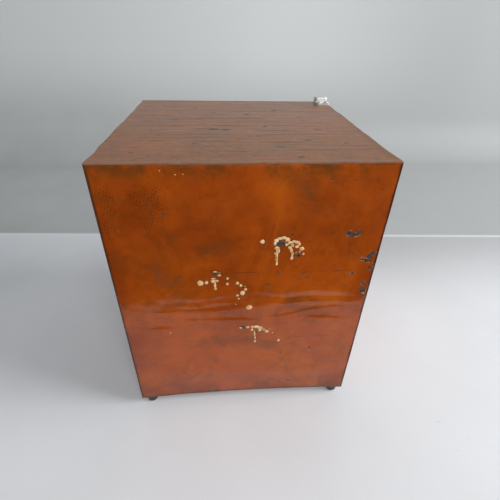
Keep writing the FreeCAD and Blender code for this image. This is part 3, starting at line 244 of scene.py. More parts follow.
def spots(f, places, flat_axis, rag, frayed):
    """Masks of ragged oval spots and of their rims; places are in millimetres, without flat_axis."""
    moved = f.place
    for scale, reach in ((rag, frayed), (rag * 3.1, frayed * 0.4)):
        offset = f.add("ShaderNodeVectorMath", operation="SCALE")
        f.put(offset, _0=f.noise_colour(scale), Scale=reach)
        shifted = f.add("ShaderNodeVectorMath", operation="ADD")
        f.put(shifted, _0=moved, _1=offset.outputs["Vector"])
        moved = shifted.outputs["Vector"]
    nearest = None
    for u, v, wide, high in places:
        flat = [(u, wide), (v, high)]
        flat.insert(flat_axis, None)
        scale = [1 / (size[1] * MM) if size else 0.0 for size in flat]
        shift = [-size[0] / size[1] if size else 0.0 for size in flat]
        span = f.add("ShaderNodeVectorMath", operation="LENGTH")
        f.put(span, _0=f.stretch(scale, shift, source=moved))
        reach = span.outputs["Value"]
        nearest = reach if nearest is None else f.math("MINIMUM", nearest, reach)
    core = f.ramp(nearest, 1.1, 0.95)
    return core, f.times(f.ramp(nearest, 1.55, 1.25), f.math("SUBTRACT", 1.0, core))


def rear_marks(f, colour, chips, grime):
    """What happened to the rear sheet: dotted imprint, stains and painted shade under the lip, dark edges,
    chips.
    """
    x, _, z = f.axes()
    lattice = f.stretch((1.25, 0, 1), rotation=(0, 0.40, 0))
    dots = f.ramp(f.cells(235.0, randomness=0.22, source=lattice), 0.27, 0.15)
    area = f.times(f.ramp(x, 0.084, 0.094), f.ramp(x, 0.168, 0.160),
                   f.ramp(z, 0.305, 0.32), f.ramp(z, 0.385, 0.37))
    columns = f.ramp(f.grain(48.0, 2.0, source=f.stretch((1, 0, 0.22), rotation=(0, 0.40, 0))), 0.43, 0.50)
    patch = f.times(area, columns, f.ramp(f.grain(34.0, 3.0), 0.30, 0.50))
    colour = f.blend(f.times(dots, patch, 0.75), colour, rgb(0.05, 0.014, 0.003))
    # Painted shade under the cover's lip, patchy like the stains there: darker towards the lip.
    stain_and_shade_under_lip = f.times(f.ramp(z, 0.375, 0.402), f.ramp(f.grain(26.0, 6.0, 0.7), 0.42, 0.62))
    colour = f.blend(f.times(stain_and_shade_under_lip, 0.7), colour, rgb(0.07, 0.035, 0.006))
    # Darker along the sheet's side, bottom and top edges.
    across = f.math("ABSOLUTE", x)
    ragged = f.grain(45.0, 6.0, 0.7)
    darkened_edges = f.most(f.ramp(f.math("ADD", across, f.times(ragged, 0.006)), 0.1695, 0.1715),
                  f.ramp(f.math("SUBTRACT", z, f.times(ragged, 0.008)), 0.0008, -0.0012),
                  f.ramp(f.math("ADD", z, f.times(ragged, 0.004)), 0.4030, 0.4040))
    colour = f.blend(f.times(darkened_edges, 0.8), colour, rgb(0.05, 0.022, 0.010))
    # Darker towards the bottom of the sheet.
    darker_low = f.times(f.ramp(z, 0.04, 0.0), f.ramp(f.grain(20.0, 6.0), 0.45, 0.65), 0.6)
    colour = f.blend(darker_low, colour, rgb(0.14, 0.03, 0.008))
    wander = f.times(f.grain(11.0, 3.0), 0.010)
    # Painted shade: thin dark lines along some of the creases.
    for height, start, end in CREASE_LINES:
        above = f.math("SUBTRACT", f.math("SUBTRACT", z, height), f.math("SUBTRACT", wander, 0.005))
        off = f.math("ABSOLUTE", above)
        along = f.times(f.ramp(x, start, start - 0.02), f.ramp(x, end, end + 0.02),
                        f.ramp(f.grain(34.0, 5.0, 0.7), 0.42, 0.58))
        colour = f.blend(f.times(f.ramp(off, 0.0009, 0.0002), along, 0.6), colour, rgb(0.07, 0.020, 0.005))
    core, rim = spots(f, REAR_CHIPS, 1, 210.0, 0.009)
    flaked = f.blend(f.ramp(f.grain(150.0), 0.45, 0.6), rgb(0.10, 0.03, 0.008), rgb(0.50, 0.27, 0.12))
    colour = f.blend(f.times(rim, f.ramp(f.grain(90.0, 3.0), 0.42, 0.55)), colour, flaked)
    return colour, f.most(chips, core), grime


def cover_marks(f, colour, chips, grime):
    """The cover is dulled by dust and weather, streaked across and pitted; its edges have a painted
    highlight, rubbed unevenly.
    """
    streaks = f.grain(13.0, 9.0, 0.75, 1.6, f.stretch((0.8, 1.8, 1.0)))
    colour = f.blend(0.6, colour, rgb(0.225, 0.100, 0.024))
    colour = f.blend(f.times(f.ramp(streaks, 0.40, 0.62), 0.35), colour, rgb(0.140, 0.062, 0.018))
    colour = f.blend(f.times(f.ramp(streaks, 0.58, 0.75), 0.4), colour, rgb(0.30, 0.150, 0.052))
    crackle = f.grain(85.0, 8.0, 0.8, 0.5, f.stretch((0.8, 1.4, 1.0)))
    colour = f.blend(f.times(f.ramp(crackle, 0.52, 0.64), 0.6), colour, rgb(0.090, 0.038, 0.013))
    colour = f.blend(f.times(f.ramp(crackle, 0.46, 0.34), 0.55), colour, rgb(0.38, 0.20, 0.085))
    specks = f.times(f.ramp(f.cells(120.0), 0.2, 0.13), f.ramp(f.grain(14.0, 3.0), 0.5, 0.66))
    core, _ = spots(f, COVER_CHIPS, 2, 300.0, 0.006)
    chips = f.most(chips, f.times(specks, 0.9), core)
    x, y, _ = f.axes()
    # Lighter band along the cover's edges: part painted highlight on the bend, part rubbed paint.
    edge = f.most(f.ramp(f.math("ABSOLUTE", x), 0.1660, 0.1690),
                  f.ramp(f.math("ABSOLUTE", y), 0.1655, 0.1675))
    rubbed = f.times(edge, f.ramp(f.grain(50.0, 5.0), 0.35, 0.6), 0.6)
    colour = f.blend(rubbed, colour, rgb(0.26, 0.13, 0.07))
    return colour, chips, f.most(grime, 1.3)


def side_marks(f, colour, chips, grime):
    """Side sheets: darker along their cut rear edges and towards the bottom."""
    _, y, z = f.axes()
    dark_rear_edge = f.ramp(y, 0.1664, 0.1672)
    low = f.times(f.ramp(z, 0.06, 0.0), f.ramp(f.grain(25.0, 6.0), 0.4, 0.6))
    colour = f.blend(f.most(f.times(dark_rear_edge, 0.9), f.times(low, 0.6)), colour, rgb(0.05, 0.02, 0.01))
    return colour, chips, grime


def drip_paint():
    """Cream paint that splashed and ran, flecked with darker specks."""
    f = Finish("cream_drips", Coat_Weight=0.2, Coat_Roughness=0.2)
    tone = f.grain(160.0, 4.0)
    colour = f.blend(f.ramp(tone, 0.35, 0.7), rgb(0.62, 0.36, 0.14), rgb(0.88, 0.64, 0.36))
    colour = f.blend(f.times(f.ramp(f.grain(420.0, 4.0), 0.58, 0.7), 0.6), colour, rgb(0.22, 0.13, 0.06))
    return f.done(Base_Color=colour, Roughness=f.between(tone, 0.3, 0.5), Normal=f.relief(tone, 0.0003))


def metal(name, colour, dark, rough, brushed=(1, 1, 1), spots=0.35, bands=0.00002):
    """Bare or plated metal with brushing, tarnish and small pits."""
    f = Finish(name, Metallic=1.0)
    tarnish = f.ramp(f.grain(35.0, 6.0, 0.65), 0.45, 0.75)
    mottled = f.blend(f.times(tarnish, 0.6), rgb(*colour), rgb(*dark))
    pits = f.times(f.ramp(f.cells(420.0), 0.22, 0.12), f.ramp(f.grain(60.0), 0.5, 0.68), spots)
    mottled = f.blend(pits, mottled, rgb(*[c * 0.25 for c in dark]))
    lines = f.grain(900.0, 3.0, 0.6, source=f.stretch(brushed))
    roughness = f.most(f.between(lines, rough * 0.7, rough * 1.3), f.times(tarnish, rough * 1.5))
    return f.done(Base_Color=mottled, Roughness=roughness, Normal=f.relief(lines, bands))


def rubber(name, colour=(0.012, 0.010, 0.009)):
    f = Finish(name)
    dust = f.ramp(f.grain(90.0, 6.0), 0.5, 0.8)
    colour = f.blend(f.times(dust, 0.5), rgb(*colour), rgb(0.06, 0.045, 0.035))
    return f.done(Base_Color=colour, Roughness=f.between(dust, 0.35, 0.7),
                  Normal=f.relief(f.grain(700.0), 0.00008))


def window_pane():
    """Clear glass with wiped smudges."""
    f = Finish("window_pane", Transmission_Weight=1.0, IOR=1.5)
    smudge = f.ramp(f.grain(18.0, 6.0, 0.6, 1.5, f.stretch((1, 1, 0.3), rotation=(0, 0.6, 0))), 0.5, 0.75)
    tint = f.blend(smudge, rgb(0.93, 0.98, 0.965), rgb(0.86, 0.92, 0.90))
    return f.done(Base_Color=tint, Roughness=f.between(smudge, 0.01, 0.12))


def glazed(name, colour, dirt, rough=0.16):
    """Vitreous enamel, glaze or moulded plastic with patches of dirt and a few fine chips."""
    f = Finish(name, Coat_Weight=0.3, Coat_Roughness=0.06)
    soil = f.ramp(f.grain(28.0, 7.0, 0.68), 0.48, 0.8)
    shade = f.blend(f.times(soil, 0.55), rgb(*colour), rgb(*dirt))
    nicks = f.times(f.ramp(f.cells(150.0), 0.13, 0.09), f.ramp(f.grain(30.0, 3.0), 0.62, 0.7))
    shade = f.blend(nicks, shade, rgb(*[c * 0.2 for c in dirt]))
    wave = f.grain(120.0, 2.0)
    return f.done(Base_Color=shade, Roughness=f.between(soil, rough, rough * 2.2),
                  Normal=f.relief(wave, 0.00005))


def varnished_wood():
    """Hardwood with its grain along X, under old varnish."""
    f = Finish("varnished_wood", Coat_Weight=0.5, Coat_Roughness=0.15)
    along = f.stretch((1.0, 9.0, 9.0))
    rings = f.grain(9.0, 5.0, 0.6, 1.4, along)
    pores = f.ramp(f.grain(95.0, 3.0, 0.7, source=f.stretch((0.5, 8.0, 8.0))), 0.56, 0.70)
    colour = f.blend(f.ramp(rings, 0.35, 0.65), rgb(0.14, 0.045, 0.016), rgb(0.27, 0.105, 0.036))
    colour = f.blend(f.times(pores, 0.55), colour, rgb(0.05, 0.016, 0.007))
    return f.done(Base_Color=colour, Roughness=f.between(rings, 0.28, 0.42),
                  Normal=f.relief(pores, 0.00008))


def cell_card():
    """Printed card round the dry cells: slate blue with a cream band, rubbed in patches, dark at its top
    rim.
    """
    f = Finish("cell_card")
    _, _, z = f.axes()
    band = f.times(f.ramp(z, 0.0745, 0.0755), f.ramp(z, 0.1255, 0.1245))
    line = f.most(f.times(f.ramp(z, 0.0675, 0.068), f.ramp(z, 0.0705, 0.070)),
                  f.times(f.ramp(z, 0.1295, 0.130), f.ramp(z, 0.1325, 0.132)))
    colour = f.blend(f.most(band, line), rgb(0.045, 0.085, 0.15), rgb(0.52, 0.43, 0.27))
    rub = f.ramp(f.grain(45.0, 7.0, 0.7), 0.55, 0.75)
    colour = f.blend(f.times(rub, 0.5), colour, rgb(0.20, 0.15, 0.10))
    pitch = f.ramp(z, 0.1566, 0.1568)
    edge = f.times(pitch, f.ramp(z, 0.1590, 0.1580))
    colour = f.blend(edge, colour, rgb(0.012, 0.010, 0.009))
    fibre = f.grain(500.0, 3.0)
    return f.done(Base_Color=colour, Roughness=f.between(fibre, 0.55, 0.8), Normal=f.relief(fibre, 0.00008))


def wound_silk():
    """Silk-covered wire laid turn by turn along X."""
    f = Finish("wound_silk", Sheen_Weight=0.4)
    turns = f.add("ShaderNodeTexWave", wave_type="BANDS", bands_direction="X")
    f.put(turns, Vector=f.place, Scale=430.0, Distortion=0.4, Detail=1.0)
    shade = f.blend(turns.outputs["Fac"], rgb(0.008, 0.035, 0.014), rgb(0.03, 0.14, 0.05))
    shade = f.blend(f.times(f.ramp(f.grain(70.0, 5.0), 0.5, 0.8), 0.5), shade, rgb(0.06, 0.07, 0.03))
    return f.done(Base_Color=shade, Roughness=f.between(turns.outputs["Fac"], 0.7, 0.5),
                  Normal=f.relief(turns.outputs["Fac"], 0.0002))


def braided_cotton():
    """Woven cotton over the leads, two threads crossing."""
    f = Finish("braided_cotton", Sheen_Weight=0.5)
    weave = f.cells(1400.0, randomness=0.25, source=f.stretch((1, 1, 1), rotation=(0.6, 0.6, 0.6)))
    shade = f.blend(f.ramp(weave, 0.2, 0.5), rgb(0.16, 0.10, 0.055), rgb(0.035, 0.022, 0.014))
    return f.done(Base_Color=shade, Roughness=f.between(weave, 0.7, 0.9), Normal=f.relief(weave, 0.0003))


def black_pitch():
    f = Finish("black_pitch")
    lumps = f.grain(110.0, 5.0)
    return f.done(Base_Color=f.blend(lumps, rgb(0.008, 0.007, 0.006), rgb(0.03, 0.025, 0.02)),
                  Roughness=f.between(lumps, 0.25, 0.55), Normal=f.relief(lumps, 0.0008))


# ---- beaten sheets ------------------------------------------------------------------------------
def wavy(place, size, seed):
    """Soft noise between about -1 and 1 whose waves are size long, along each axis."""
    scaled = Vector([p / s for p, s in zip(place, size)])
    return noise.noise(scaled + Vector((seed, 7.3 * seed, -3.1 * seed)))


def smooth_step(value, low, high):
    t = min(1.0, max(0.0, (value - low) / (high - low)))
    return t * t * (3 - 2 * t)


# Creases of the rear sheet: middle across and up, half length, slope, depth and width in millimetres.
REAR_CREASES = [
    (-40, 254, 118, 0.03, 0.35, 4), (-100, 208, 74, 0.05, 1.1, 6), (20, 199, 45, -0.10, 0.5, 5),
    (105, 196, 60, 0.04, 0.4, 6), (131, 164, 30, 0.05, 1.0, 5), (15, 141, 100, 0.09, 0.7, 6),
    (-42, 119, 110, 0.06, 0.6, 7), (112, 130, 50, -0.06, 0.8, 6), (60, 207, 60, -0.06, 0.4, 6),
    (-120, 172, 45, 0.10, 0.7, 6), (-85, 188, 60, -0.14, 0.6, 5), (40, 176, 70, 0.05, 0.6, 5),
    (-60, 60, 90, 0.03, 0.6, 12), (90, 76, 60, 0.08, 0.6, 9), (20, 300, 70, 0.35, 0.35, 10),
    (-90, 345, 60, -0.5, 0.3, 12), (-10, 92, 60, -0.05, 0.4, 7), (-120, 92, 40, 0.2, 0.5, 7),
]
# Creases of the cover: middle across and towards the rear, half length, slope, depth and width.
COVER_CREASES = [
    (0, 158, 165, 0.015, 0.5, 3.0), (-20, 124, 150, 0.015, 0.7, 3.0), (60, 141, 90, -0.02, 0.4, 2.6),
    (20, 89, 150, -0.03, 0.6, 3.2), (-30, 58, 130, 0.03, 0.6, 3.2), (70, 72, 70, 0.04, 0.5, 2.8),
    (10, 12, 150, 0.0, 0.7, 3.8), (20, -29, 140, 0.03, 0.6, 4.2), (-60, -8, 80, -0.03, 0.5, 3.4),
    (-10, -84, 140, -0.02, 0.7, 5), (80, -52, 70, 0.05, 0.6, 4), (70, 108, 70, 0.05, 0.6, 2.8),
    (-90, 40, 60, -0.05, 0.5, 3.0), (80, 34, 60, 0.04, 0.5, 3.2), (-95, 104, 55, -0.06, 0.5, 2.6),
    (-60, -60, 70, 0.02, 0.5, 4.5), (60, -120, 80, 0.03, 0.6, 5.5), (0, -140, 150, 0.0, 0.5, 5),
]


def creases(lines, u, v):
    """Depth in millimetres of the creases at a point; one side of each is raised and the other sunk."""
    total = 0.0
    for middle, height, half, slope, depth, width in lines:
        across = (u - middle) / half
        if abs(across) < 1.3:
            wander = (3.5 * wavy((u, height, 0), (60, 90, 1), 4.0)
                      + 1.6 * wavy((u, height, 0), (19, 40, 1), 15.0))
            off = (v - height - slope * (u - middle) - wander) / width
            strength = max(0.0, 0.75 + 1.1 * wavy((u, 2.3 * height, 0), (34, 60, 1), 18.0))
            fade = 1 - smooth_step(abs(across), 0.55, 1.3)
            total += depth * strength * fade * off * math.exp(0.5 - off * off)
    return total


def foot_bow(x):
    """How far the rear lower edge is pushed in, in millimetres."""
    return 4.4 * max(0.0, 1 - (2 * x * MM / WIDTH) ** 2)


def rear_dent(place):
    """Depth of the rear sheet below the case's rear plane."""
    x, z = place.x / MM, place.z / MM
    waves = 0.9 * wavy((x, 0, z), (120, 1, 80), 1.0) + 0.55 * wavy((x, 0, z), (48, 1, 26), 2.0)
    waves += 0.20 * wavy((x, 0, z), (26, 1, 12), 3.0) + 0.05 * wavy((x, 0, z), (9, 1, 7), 14.0)
    inside = smooth_step(min(WIDTH / MM / 2 - abs(x), TOP / MM - z), 2.0, 40.0)
    sunk = 1.0 + inside * max(-0.5, waves + 0.35 + 0.7 * creases(REAR_CREASES, x, z))
    return MM * (sunk + foot_bow(x) * (1 - smooth_step(z, 0.0, 75.0)))


def side_dent(place):
    y, z = place.y / MM, place.z / MM
    waves = 0.9 * wavy((place.x / MM, y, z), (300, 110, 90), 5.0) + 0.4 * wavy((0, y, z), (1, 40, 30), 6.0)
    edge = smooth_step(min(y + 147, 168 - y, z, EAVES / MM - z), 0.0, 35.0)
    return MM * edge * max(0.0, 0.6 + waves)


def cover_dent(place):
    x, y = place.x / MM, place.y / MM
    waves = 0.5 * wavy((x, y, 0), (150, 45, 1), 8.0) + 0.25 * wavy((x, y, 0), (40, 18, 1), 9.0)
    flat_by_hinge = smooth_step(math.hypot(x + 158, y + 152), 28.0, 60.0)
    edge = smooth_step(min(170 - abs(x), 168 - abs(y)), -2.0, 12.0)
    return MM * flat_by_hinge * max(0.0, edge * (0.75 + waves + 0.55 * creases(COVER_CREASES, x, y)))


def sheet_grid(across, along, corner, step):
    """A flat grid of quads from corner, along two edge vectors; it faces across x along."""
    mesh = bmesh.new()
    bmesh.ops.create_grid(mesh, x_segments=round(across.length / step),
                          y_segments=round(along.length / step), size=0.5)
    turn = Matrix((across, along, across.cross(along).normalized())).transposed().to_4x4()
    place = Matrix.Translation(corner + (across + along) / 2)
    bmesh.ops.transform(mesh, matrix=place @ turn, verts=mesh.verts)
    return mesh


def as_piece(name, mesh, material, body, replaced=(), wall=0.0, smooth=True):
    """Turns a bmesh into a piece that rides on a body; wall is a sheet's thickness."""
    data = bpy.data.meshes.new(name)
    mesh.to_mesh(data)
    mesh.free()
    data.materials.append(material)
    if smooth:
        data.shade_smooth()
    piece = bpy.data.objects.new(name, data)
    bpy.context.collection.objects.link(piece)
    if wall:
        solid = piece.modifiers.new("wall", "SOLIDIFY")
        solid.thickness, solid.offset, solid.use_even_offset = wall, -1.0, False
        bevel = piece.modifiers.new("edge", "BEVEL")
        bevel.width, bevel.segments = 0.5 * MM, 2
        bevel.limit_method, bevel.angle_limit = "ANGLE", math.radians(50)
    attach(piece, body)
    if replaced:
        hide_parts(*replaced)
    return piece


def add_rear_sheet():
    low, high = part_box("rear_panel")
    mesh = sheet_grid(Vector((low.x - high.x, 0, 0)), Vector((0, 0, high.z - low.z)),
                      Vector((high.x, high.y, low.z)), 2.6 * MM)
    for v in mesh.verts:
        v.co.y -= rear_dent(v.co)
    as_piece("rear_sheet", mesh, enamel("rear_enamel", rear_marks), "case", ["rear_panel"], 1.5 * MM)


def add_side_sheets(material):
    for name, sign in (("side_panel_left", -1), ("side_panel_right", 1)):
        low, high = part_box(name)
        across = Vector((0, sign * (high.y - low.y), 0))
        corner = Vector((sign * WIDTH / 2, low.y if sign > 0 else high.y, low.z))
        mesh = sheet_grid(across, Vector((0, 0, high.z - low.z)), corner, 5 * MM)
        for v in mesh.verts:
            v.co.x -= sign * side_dent(v.co)
            ragged = 1 + wavy(v.co / MM, (20, 20, 35), 11.0)
            v.co.y -= 0.5 * MM * smooth_step(v.co.y, 0.14, high.y) * ragged
        as_piece(name + "_sheet", mesh, material, "case", [name], 1.5 * MM)


def add_cover_sheet():
    low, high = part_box("top_cover")
    mesh = sheet_grid(Vector((high.x - low.x, 0, 0)), Vector((0, high.y - low.y, 0)),
                      Vector((low.x, low.y, high.z)), 2.0 * MM)
    for v in mesh.verts:
        v.co.z -= cover_dent(v.co)
        by_corner = smooth_step(math.hypot(high.x - abs(v.co.x), high.y - v.co.y), 6 * MM, 30 * MM)
        long_wave, short_wave = wavy(v.co / MM, (400, 42, 1), 12.0), wavy(v.co / MM, (400, 15, 1), 16.0)
        drawn_in = by_corner * max(0, 0.9 + 1.3 * long_wave + 0.5 * short_wave)
        v.co.x -= v.co.x * 0.0014 + v.co.x * 0.0078 * drawn_in
        long_wave, short_wave = wavy(v.co / MM, (60, 400, 1), 13.0), wavy(v.co / MM, (18, 400, 1), 17.0)
        drawn_in = by_corner * max(0, 0.9 + 1.2 * long_wave + 0.4 * short_wave)
        v.co.y -= v.co.y * 0.0012 + v.co.y * 0.0030 * drawn_in
    as_piece("cover_sheet", mesh, enamel("cover_enamel", cover_marks), "case", ["top_cover"], 2 * MM)


def add_base_sheet(material):
    """The base pan, its rear flange pushed in behind the bowed rear sheet."""
    mesh = bmesh.new()
    mesh.from_mesh(nodes["base_pan"].data)
    bmesh.ops.remove_doubles(mesh, verts=mesh.verts, dist=0.01 * MM)
    for v in mesh.verts:
        if v.co.y > REAR - 8 * MM:
            v.co.y -= 6.2 * MM
    as_piece("base_sheet", mesh, material, "case", ["base_pan"], smooth=False)


# ---- paint splashes -----------------------------------------------------------------------------
# Blots on the rear sheet: across, up, half width, half height, in millimetres.
BLOTS = [
    (-19, 304.2, 2.9, 2.8), (-34.6, 301.2, 1.9, 2.8), (-36, 305.2, 2.8, 2.5), (-40, 308.2, 3.8, 2.1),
    (-45, 308.7, 3.8, 2.3), (-50, 306.2, 3.0, 2.8), (-52.3, 302.5, 1.7, 2.2), (-49, 299, 1.5, 1.7),
    (-37.4, 294.2, 3.3, 2.5), (-39, 290.2, 2.6, 3.8), (-37.8, 284.2, 1.7, 5), (-38.3, 276.2, 1.2, 6),
    (-38.6, 269.7, 1.5, 2.2), (-35.2, 286.2, 0.9, 1.2), (-36.4, 277.2, 1.0, 1.0),
    (-54, 301.8, 2.1, 1.7), (-57.6, 303.2, 2.9, 1.9), (-62, 302.2, 3.2, 2.2), (-65, 299.2, 1.9, 2.3),
    (-62.3, 295.8, 2.6, 1.8), (-56.4, 297.8, 2.0, 2.6), (-53.6, 294.2, 2.3, 2.6),
    (-55.8, 290.2, 1.9, 3.2), (-57.4, 284.7, 1.4, 4.2), (-57.2, 278.7, 1.9, 3.0),
    (-51.6, 299.8, 1.0, 1.1), (-68.8, 292.7, 2.8, 2.9), (-71.6, 284.7, 1.5, 1.7),
    (-66.4, 288.2, 1.1, 1.1), (-62.4, 287.6, 0.8, 0.8), (60, 242.2, 4.0, 4.4), (52, 242.7, 2.4, 3.0),
    (43.6, 244.6, 3.0, 2.6), (39, 245.2, 2.6, 2.0), (43, 249, 3, 1.4), (41.2, 238.2, 1.5, 5.6),
    (40.9, 232.2, 1.9, 2.4), (35.5, 254.2, 2.4, 1.6), (40.5, 260.2, 2.6, 0.9), (24.6, 248.5, 1.5, 1.8),
    (25.1, 239.4, 1.9, 2.2), (11.6, 240.2, 2.2, 2.6), (7.1, 236.2, 1.8, 2.2), (0.7, 229.2, 2.2, 2.8),
    (4.7, 223.2, 3.3, 3.8), (11.6, 218.9, 2.0, 1.9), (9.9, 213, 1.3, 1.5), (1.6, 234.2, 0.8, 0.9),
    (-4.6, 196.7, 4.2, 4.4), (7, 157.2, 2.0, 1.6), (-3.4, 157.6, 2.6, 2.0), (-10.4, 158.2, 2.6, 2.0),
    (-16, 157.8, 4.4, 2.4), (-22, 155.2, 3.6, 3.0), (-27.4, 151.4, 2.4, 2.0), (-31.6, 147.6, 2.8, 2.6),
    (-21, 150.2, 2.4, 2.0), (-9.8, 152.2, 1.8, 2.2), (-13.6, 144.2, 1.4, 6), (-14.6, 135.2, 1.0, 3),
    (-14.8, 127.8, 1.9, 3.2), (-50.5, 126.9, 1.9, 2.8), (-36, 153.2, 0.9, 1.0),
    (-40.4, 144.2, 0.8, 1.0), (93.5, 395.5, 0.6, 0.6), (77.9, 391, 0.7, 0.6), (69.7, 391.5, 0.6, 0.6),
    (108, 152.8, 1.2, 1.0), (14, 203.2, 0.8, 0.8),
]


def add_splashes():
    """Each blot is a low dome that follows the sheet under it; a run is a narrow one."""
    mesh = bmesh.new()
    for number, (x, z, wide, high) in enumerate(BLOTS):
        ring = bmesh.ops.create_circle(mesh, cap_ends=True, radius=1.0, segments=22)["verts"]
        face = ring[0].link_faces[0]
        for v in ring:
            ragged = 1 + 0.22 * noise.noise(Vector((1.6 * v.co.x, 1.6 * v.co.y, 9.7 * number)))
            v.co = Vector(((x - v.co.x * wide * ragged) * MM, 0, (z + v.co.y * high * ragged) * MM))
        face.normal_update()
        step = 0.26 * min(wide, high) * MM
        for rise in (0.26 * MM, 0.12 * MM, 0.04 * MM):
            bmesh.ops.inset_region(mesh, faces=[face], thickness=step, depth=rise, use_boundary=True)
            step *= 0.8
        bmesh.ops.poke(mesh, faces=[face])
    bmesh.ops.recalc_face_normals(mesh, faces=mesh.faces)
    for v in mesh.verts:
        v.co.y = REAR - rear_dent(Vector((v.co.x, 0, v.co.z))) + abs(v.co.y) - 0.02 * MM
    as_piece("paint_splashes", mesh, drip_paint(), "case")


# ---- small pieces -------------------------------------------------------------------------------
def wire(name, points, thickness, material, body, smooth_curve=True):
    """A round wire through points, made a mesh."""
    curve = bpy.data.curves.new(name, "CURVE")
    curve.dimensions, curve.use_fill_caps = "3D", True
    curve.bevel_depth, curve.bevel_resolution = thickness / 2, 3
    spline = curve.splines.new("NURBS" if smooth_curve else "POLY")
    spline.points.add(len(points) - 1)
    for point, place in zip(spline.points, points):
        point.co = (*place, 1.0)
    if smooth_curve:
        spline.order_u, spline.use_endpoint_u = 3, True
    holder = bpy.data.objects.new(name + "_path", curve)
    bpy.context.collection.objects.link(holder)
    data = bpy.data.meshes.new_from_object(holder.evaluated_get(bpy.context.evaluated_depsgraph_get()))
    bpy.data.objects.remove(holder)
    mesh = bmesh.new()
    mesh.from_mesh(data)
    bpy.data.meshes.remove(data)
    return as_piece(name, mesh, material, body)


def coil(centre, radius, start, end, turns, per_turn=12):
    """Points of a helix along Y or Z, from start to end."""
    steps = int(turns * per_turn)
    places = []
    for k in range(steps + 1):
        a = 2 * math.pi * k / per_turn
        base = start.lerp(end, k / steps)
        round_y = abs((end - start).y) > abs((end - start).z)
        offset = Vector((math.cos(a), 0, math.sin(a))) if round_y else Vector((math.cos(a), math.sin(a), 0))
        places.append(base + offset * radius)
    return places


joints = {j["name"]: j for j in frame["joints"]}


def add_springs(steel):
    x, y, z = joints["lever_pull"]["pos_m"]
    plate_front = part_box("movement_plates")[0].y
    pull_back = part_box("pull_plate")[1].y
    start, end = Vector((x, plate_front - 1.2 * MM, z)), Vector((x, pull_back + 1.2 * MM, z))
    wire("lever_spring", coil(start, 8 * MM, start, end, 7), 1.6 * MM, steel, "case")
    low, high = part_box("key_base"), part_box("key_lever")
    x, y = (high[0].x + high[1].x) / 2, high[0].y + 36 * MM
    start, end = Vector((x, y, low[0].z + 3.5 * MM)), Vector((x, y, high[0].z - 1.1 * MM))
    wire("key_spring", coil(start, 3.2 * MM, start, end, 5), 0.9 * MM, steel, "case")


def verts_of(geometry):
    return [g for g in geometry if isinstance(g, bmesh.types.BMVert)]


def flat_mark(name, mesh, material, body, thick):
    """Raises flat faces by thick towards the viewer of the door, and makes them a piece."""
    raised = bmesh.ops.extrude_face_region(mesh, geom=mesh.faces[:])["geom"]
    bmesh.ops.translate(mesh, vec=(0, -thick, 0), verts=verts_of(raised))
    bmesh.ops.recalc_face_normals(mesh, faces=mesh.faces)
    as_piece(name, mesh, material, body, smooth=False)


def frame_mark(mesh, low, high, y, line):
    """A rectangular line round a plate."""
    made = bmesh.ops.create_grid(mesh, x_segments=1, y_segments=1, size=0.5)["verts"]
    middle, size = (low + high) / 2, high - low
    for v in made:
        v.co = Vector((middle.x + v.co.x * size.x, y, middle.z + v.co.y * size.z))
    face = made[0].link_faces[0]
    face.normal_update()
    bmesh.ops.inset_region(mesh, faces=[face], thickness=line, use_boundary=True)
    bmesh.ops.delete(mesh, geom=[face], context="FACES")


def outline_mark(mesh, points, y):
    mesh.faces.new([mesh.verts.new((px, y, pz)) for px, pz in points])


def add_signs(sign_red):
    """Pictures in place of words: a framed flame and arrow, and a curved arrow for the lever."""
    low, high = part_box("instruction_plate")
    mesh, y = bmesh.new(), low.y + 0.02 * MM
    edge = Vector((2.4 * MM, 0, 2.4 * MM))
    frame_mark(mesh, low + edge, high - edge, y, 1.6 * MM)
    cx, cz, size = low.x + 42 * MM, (low.z + high.z) / 2 - 3 * MM, 17 * MM
    flame = [(0, -1.0), (0.55, -0.85), (0.85, -0.35), (0.75, 0.15), (0.45, 0.0), (0.35, 0.75), (-0.1, 1.35),
             (-0.05, 0.7), (-0.5, 0.25), (-0.62, 0.5), (-0.85, -0.1), (-0.75, -0.6), (-0.4, -0.92)]
    outline_mark(mesh, [(cx + u * size, cz + v * size) for u, v in flame], y)
    ax, az = high.x - 52 * MM, (low.z + high.z) / 2
    arrow = [(-5, -20), (5, -20), (5, 4), (13, 4), (0, 21), (-13, 4), (-5, 4)]
    outline_mark(mesh, [(ax + u * MM, az + v * MM) for u, v in arrow], y)
    flat_mark("plate_marks", mesh, sign_red, "door", 0.2 * MM)
    pivot = Vector(joints["lever_pull"]["pos_m"])
    mesh, y = bmesh.new(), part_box("pull_plate")[0].y + 0.02 * MM
    inner, outer, first, sweep = 92 * MM, 100 * MM, math.radians(-9), math.radians(27)

    def at(radius, angle):
        return Vector((pivot.x + radius * math.cos(angle), y, pivot.z + radius * math.sin(angle)))
    start = mesh.edges.new([mesh.verts.new(at(r, first)) for r in (inner, outer)])
    bmesh.ops.spin(mesh, geom=[start, *start.verts], cent=(pivot.x, y, pivot.z), axis=(0, 1, 0),
                   angle=sweep, steps=14)
    last, tip = first - sweep, first - sweep - math.radians(9)
    barbs = (at(inner - 6 * MM, last), at(outer + 6 * MM, last), at((inner + outer) / 2, tip))
    mesh.faces.new([mesh.verts.new(p) for p in barbs])
    flat_mark("lever_marks", mesh, sign_red, "case", 0.2 * MM)


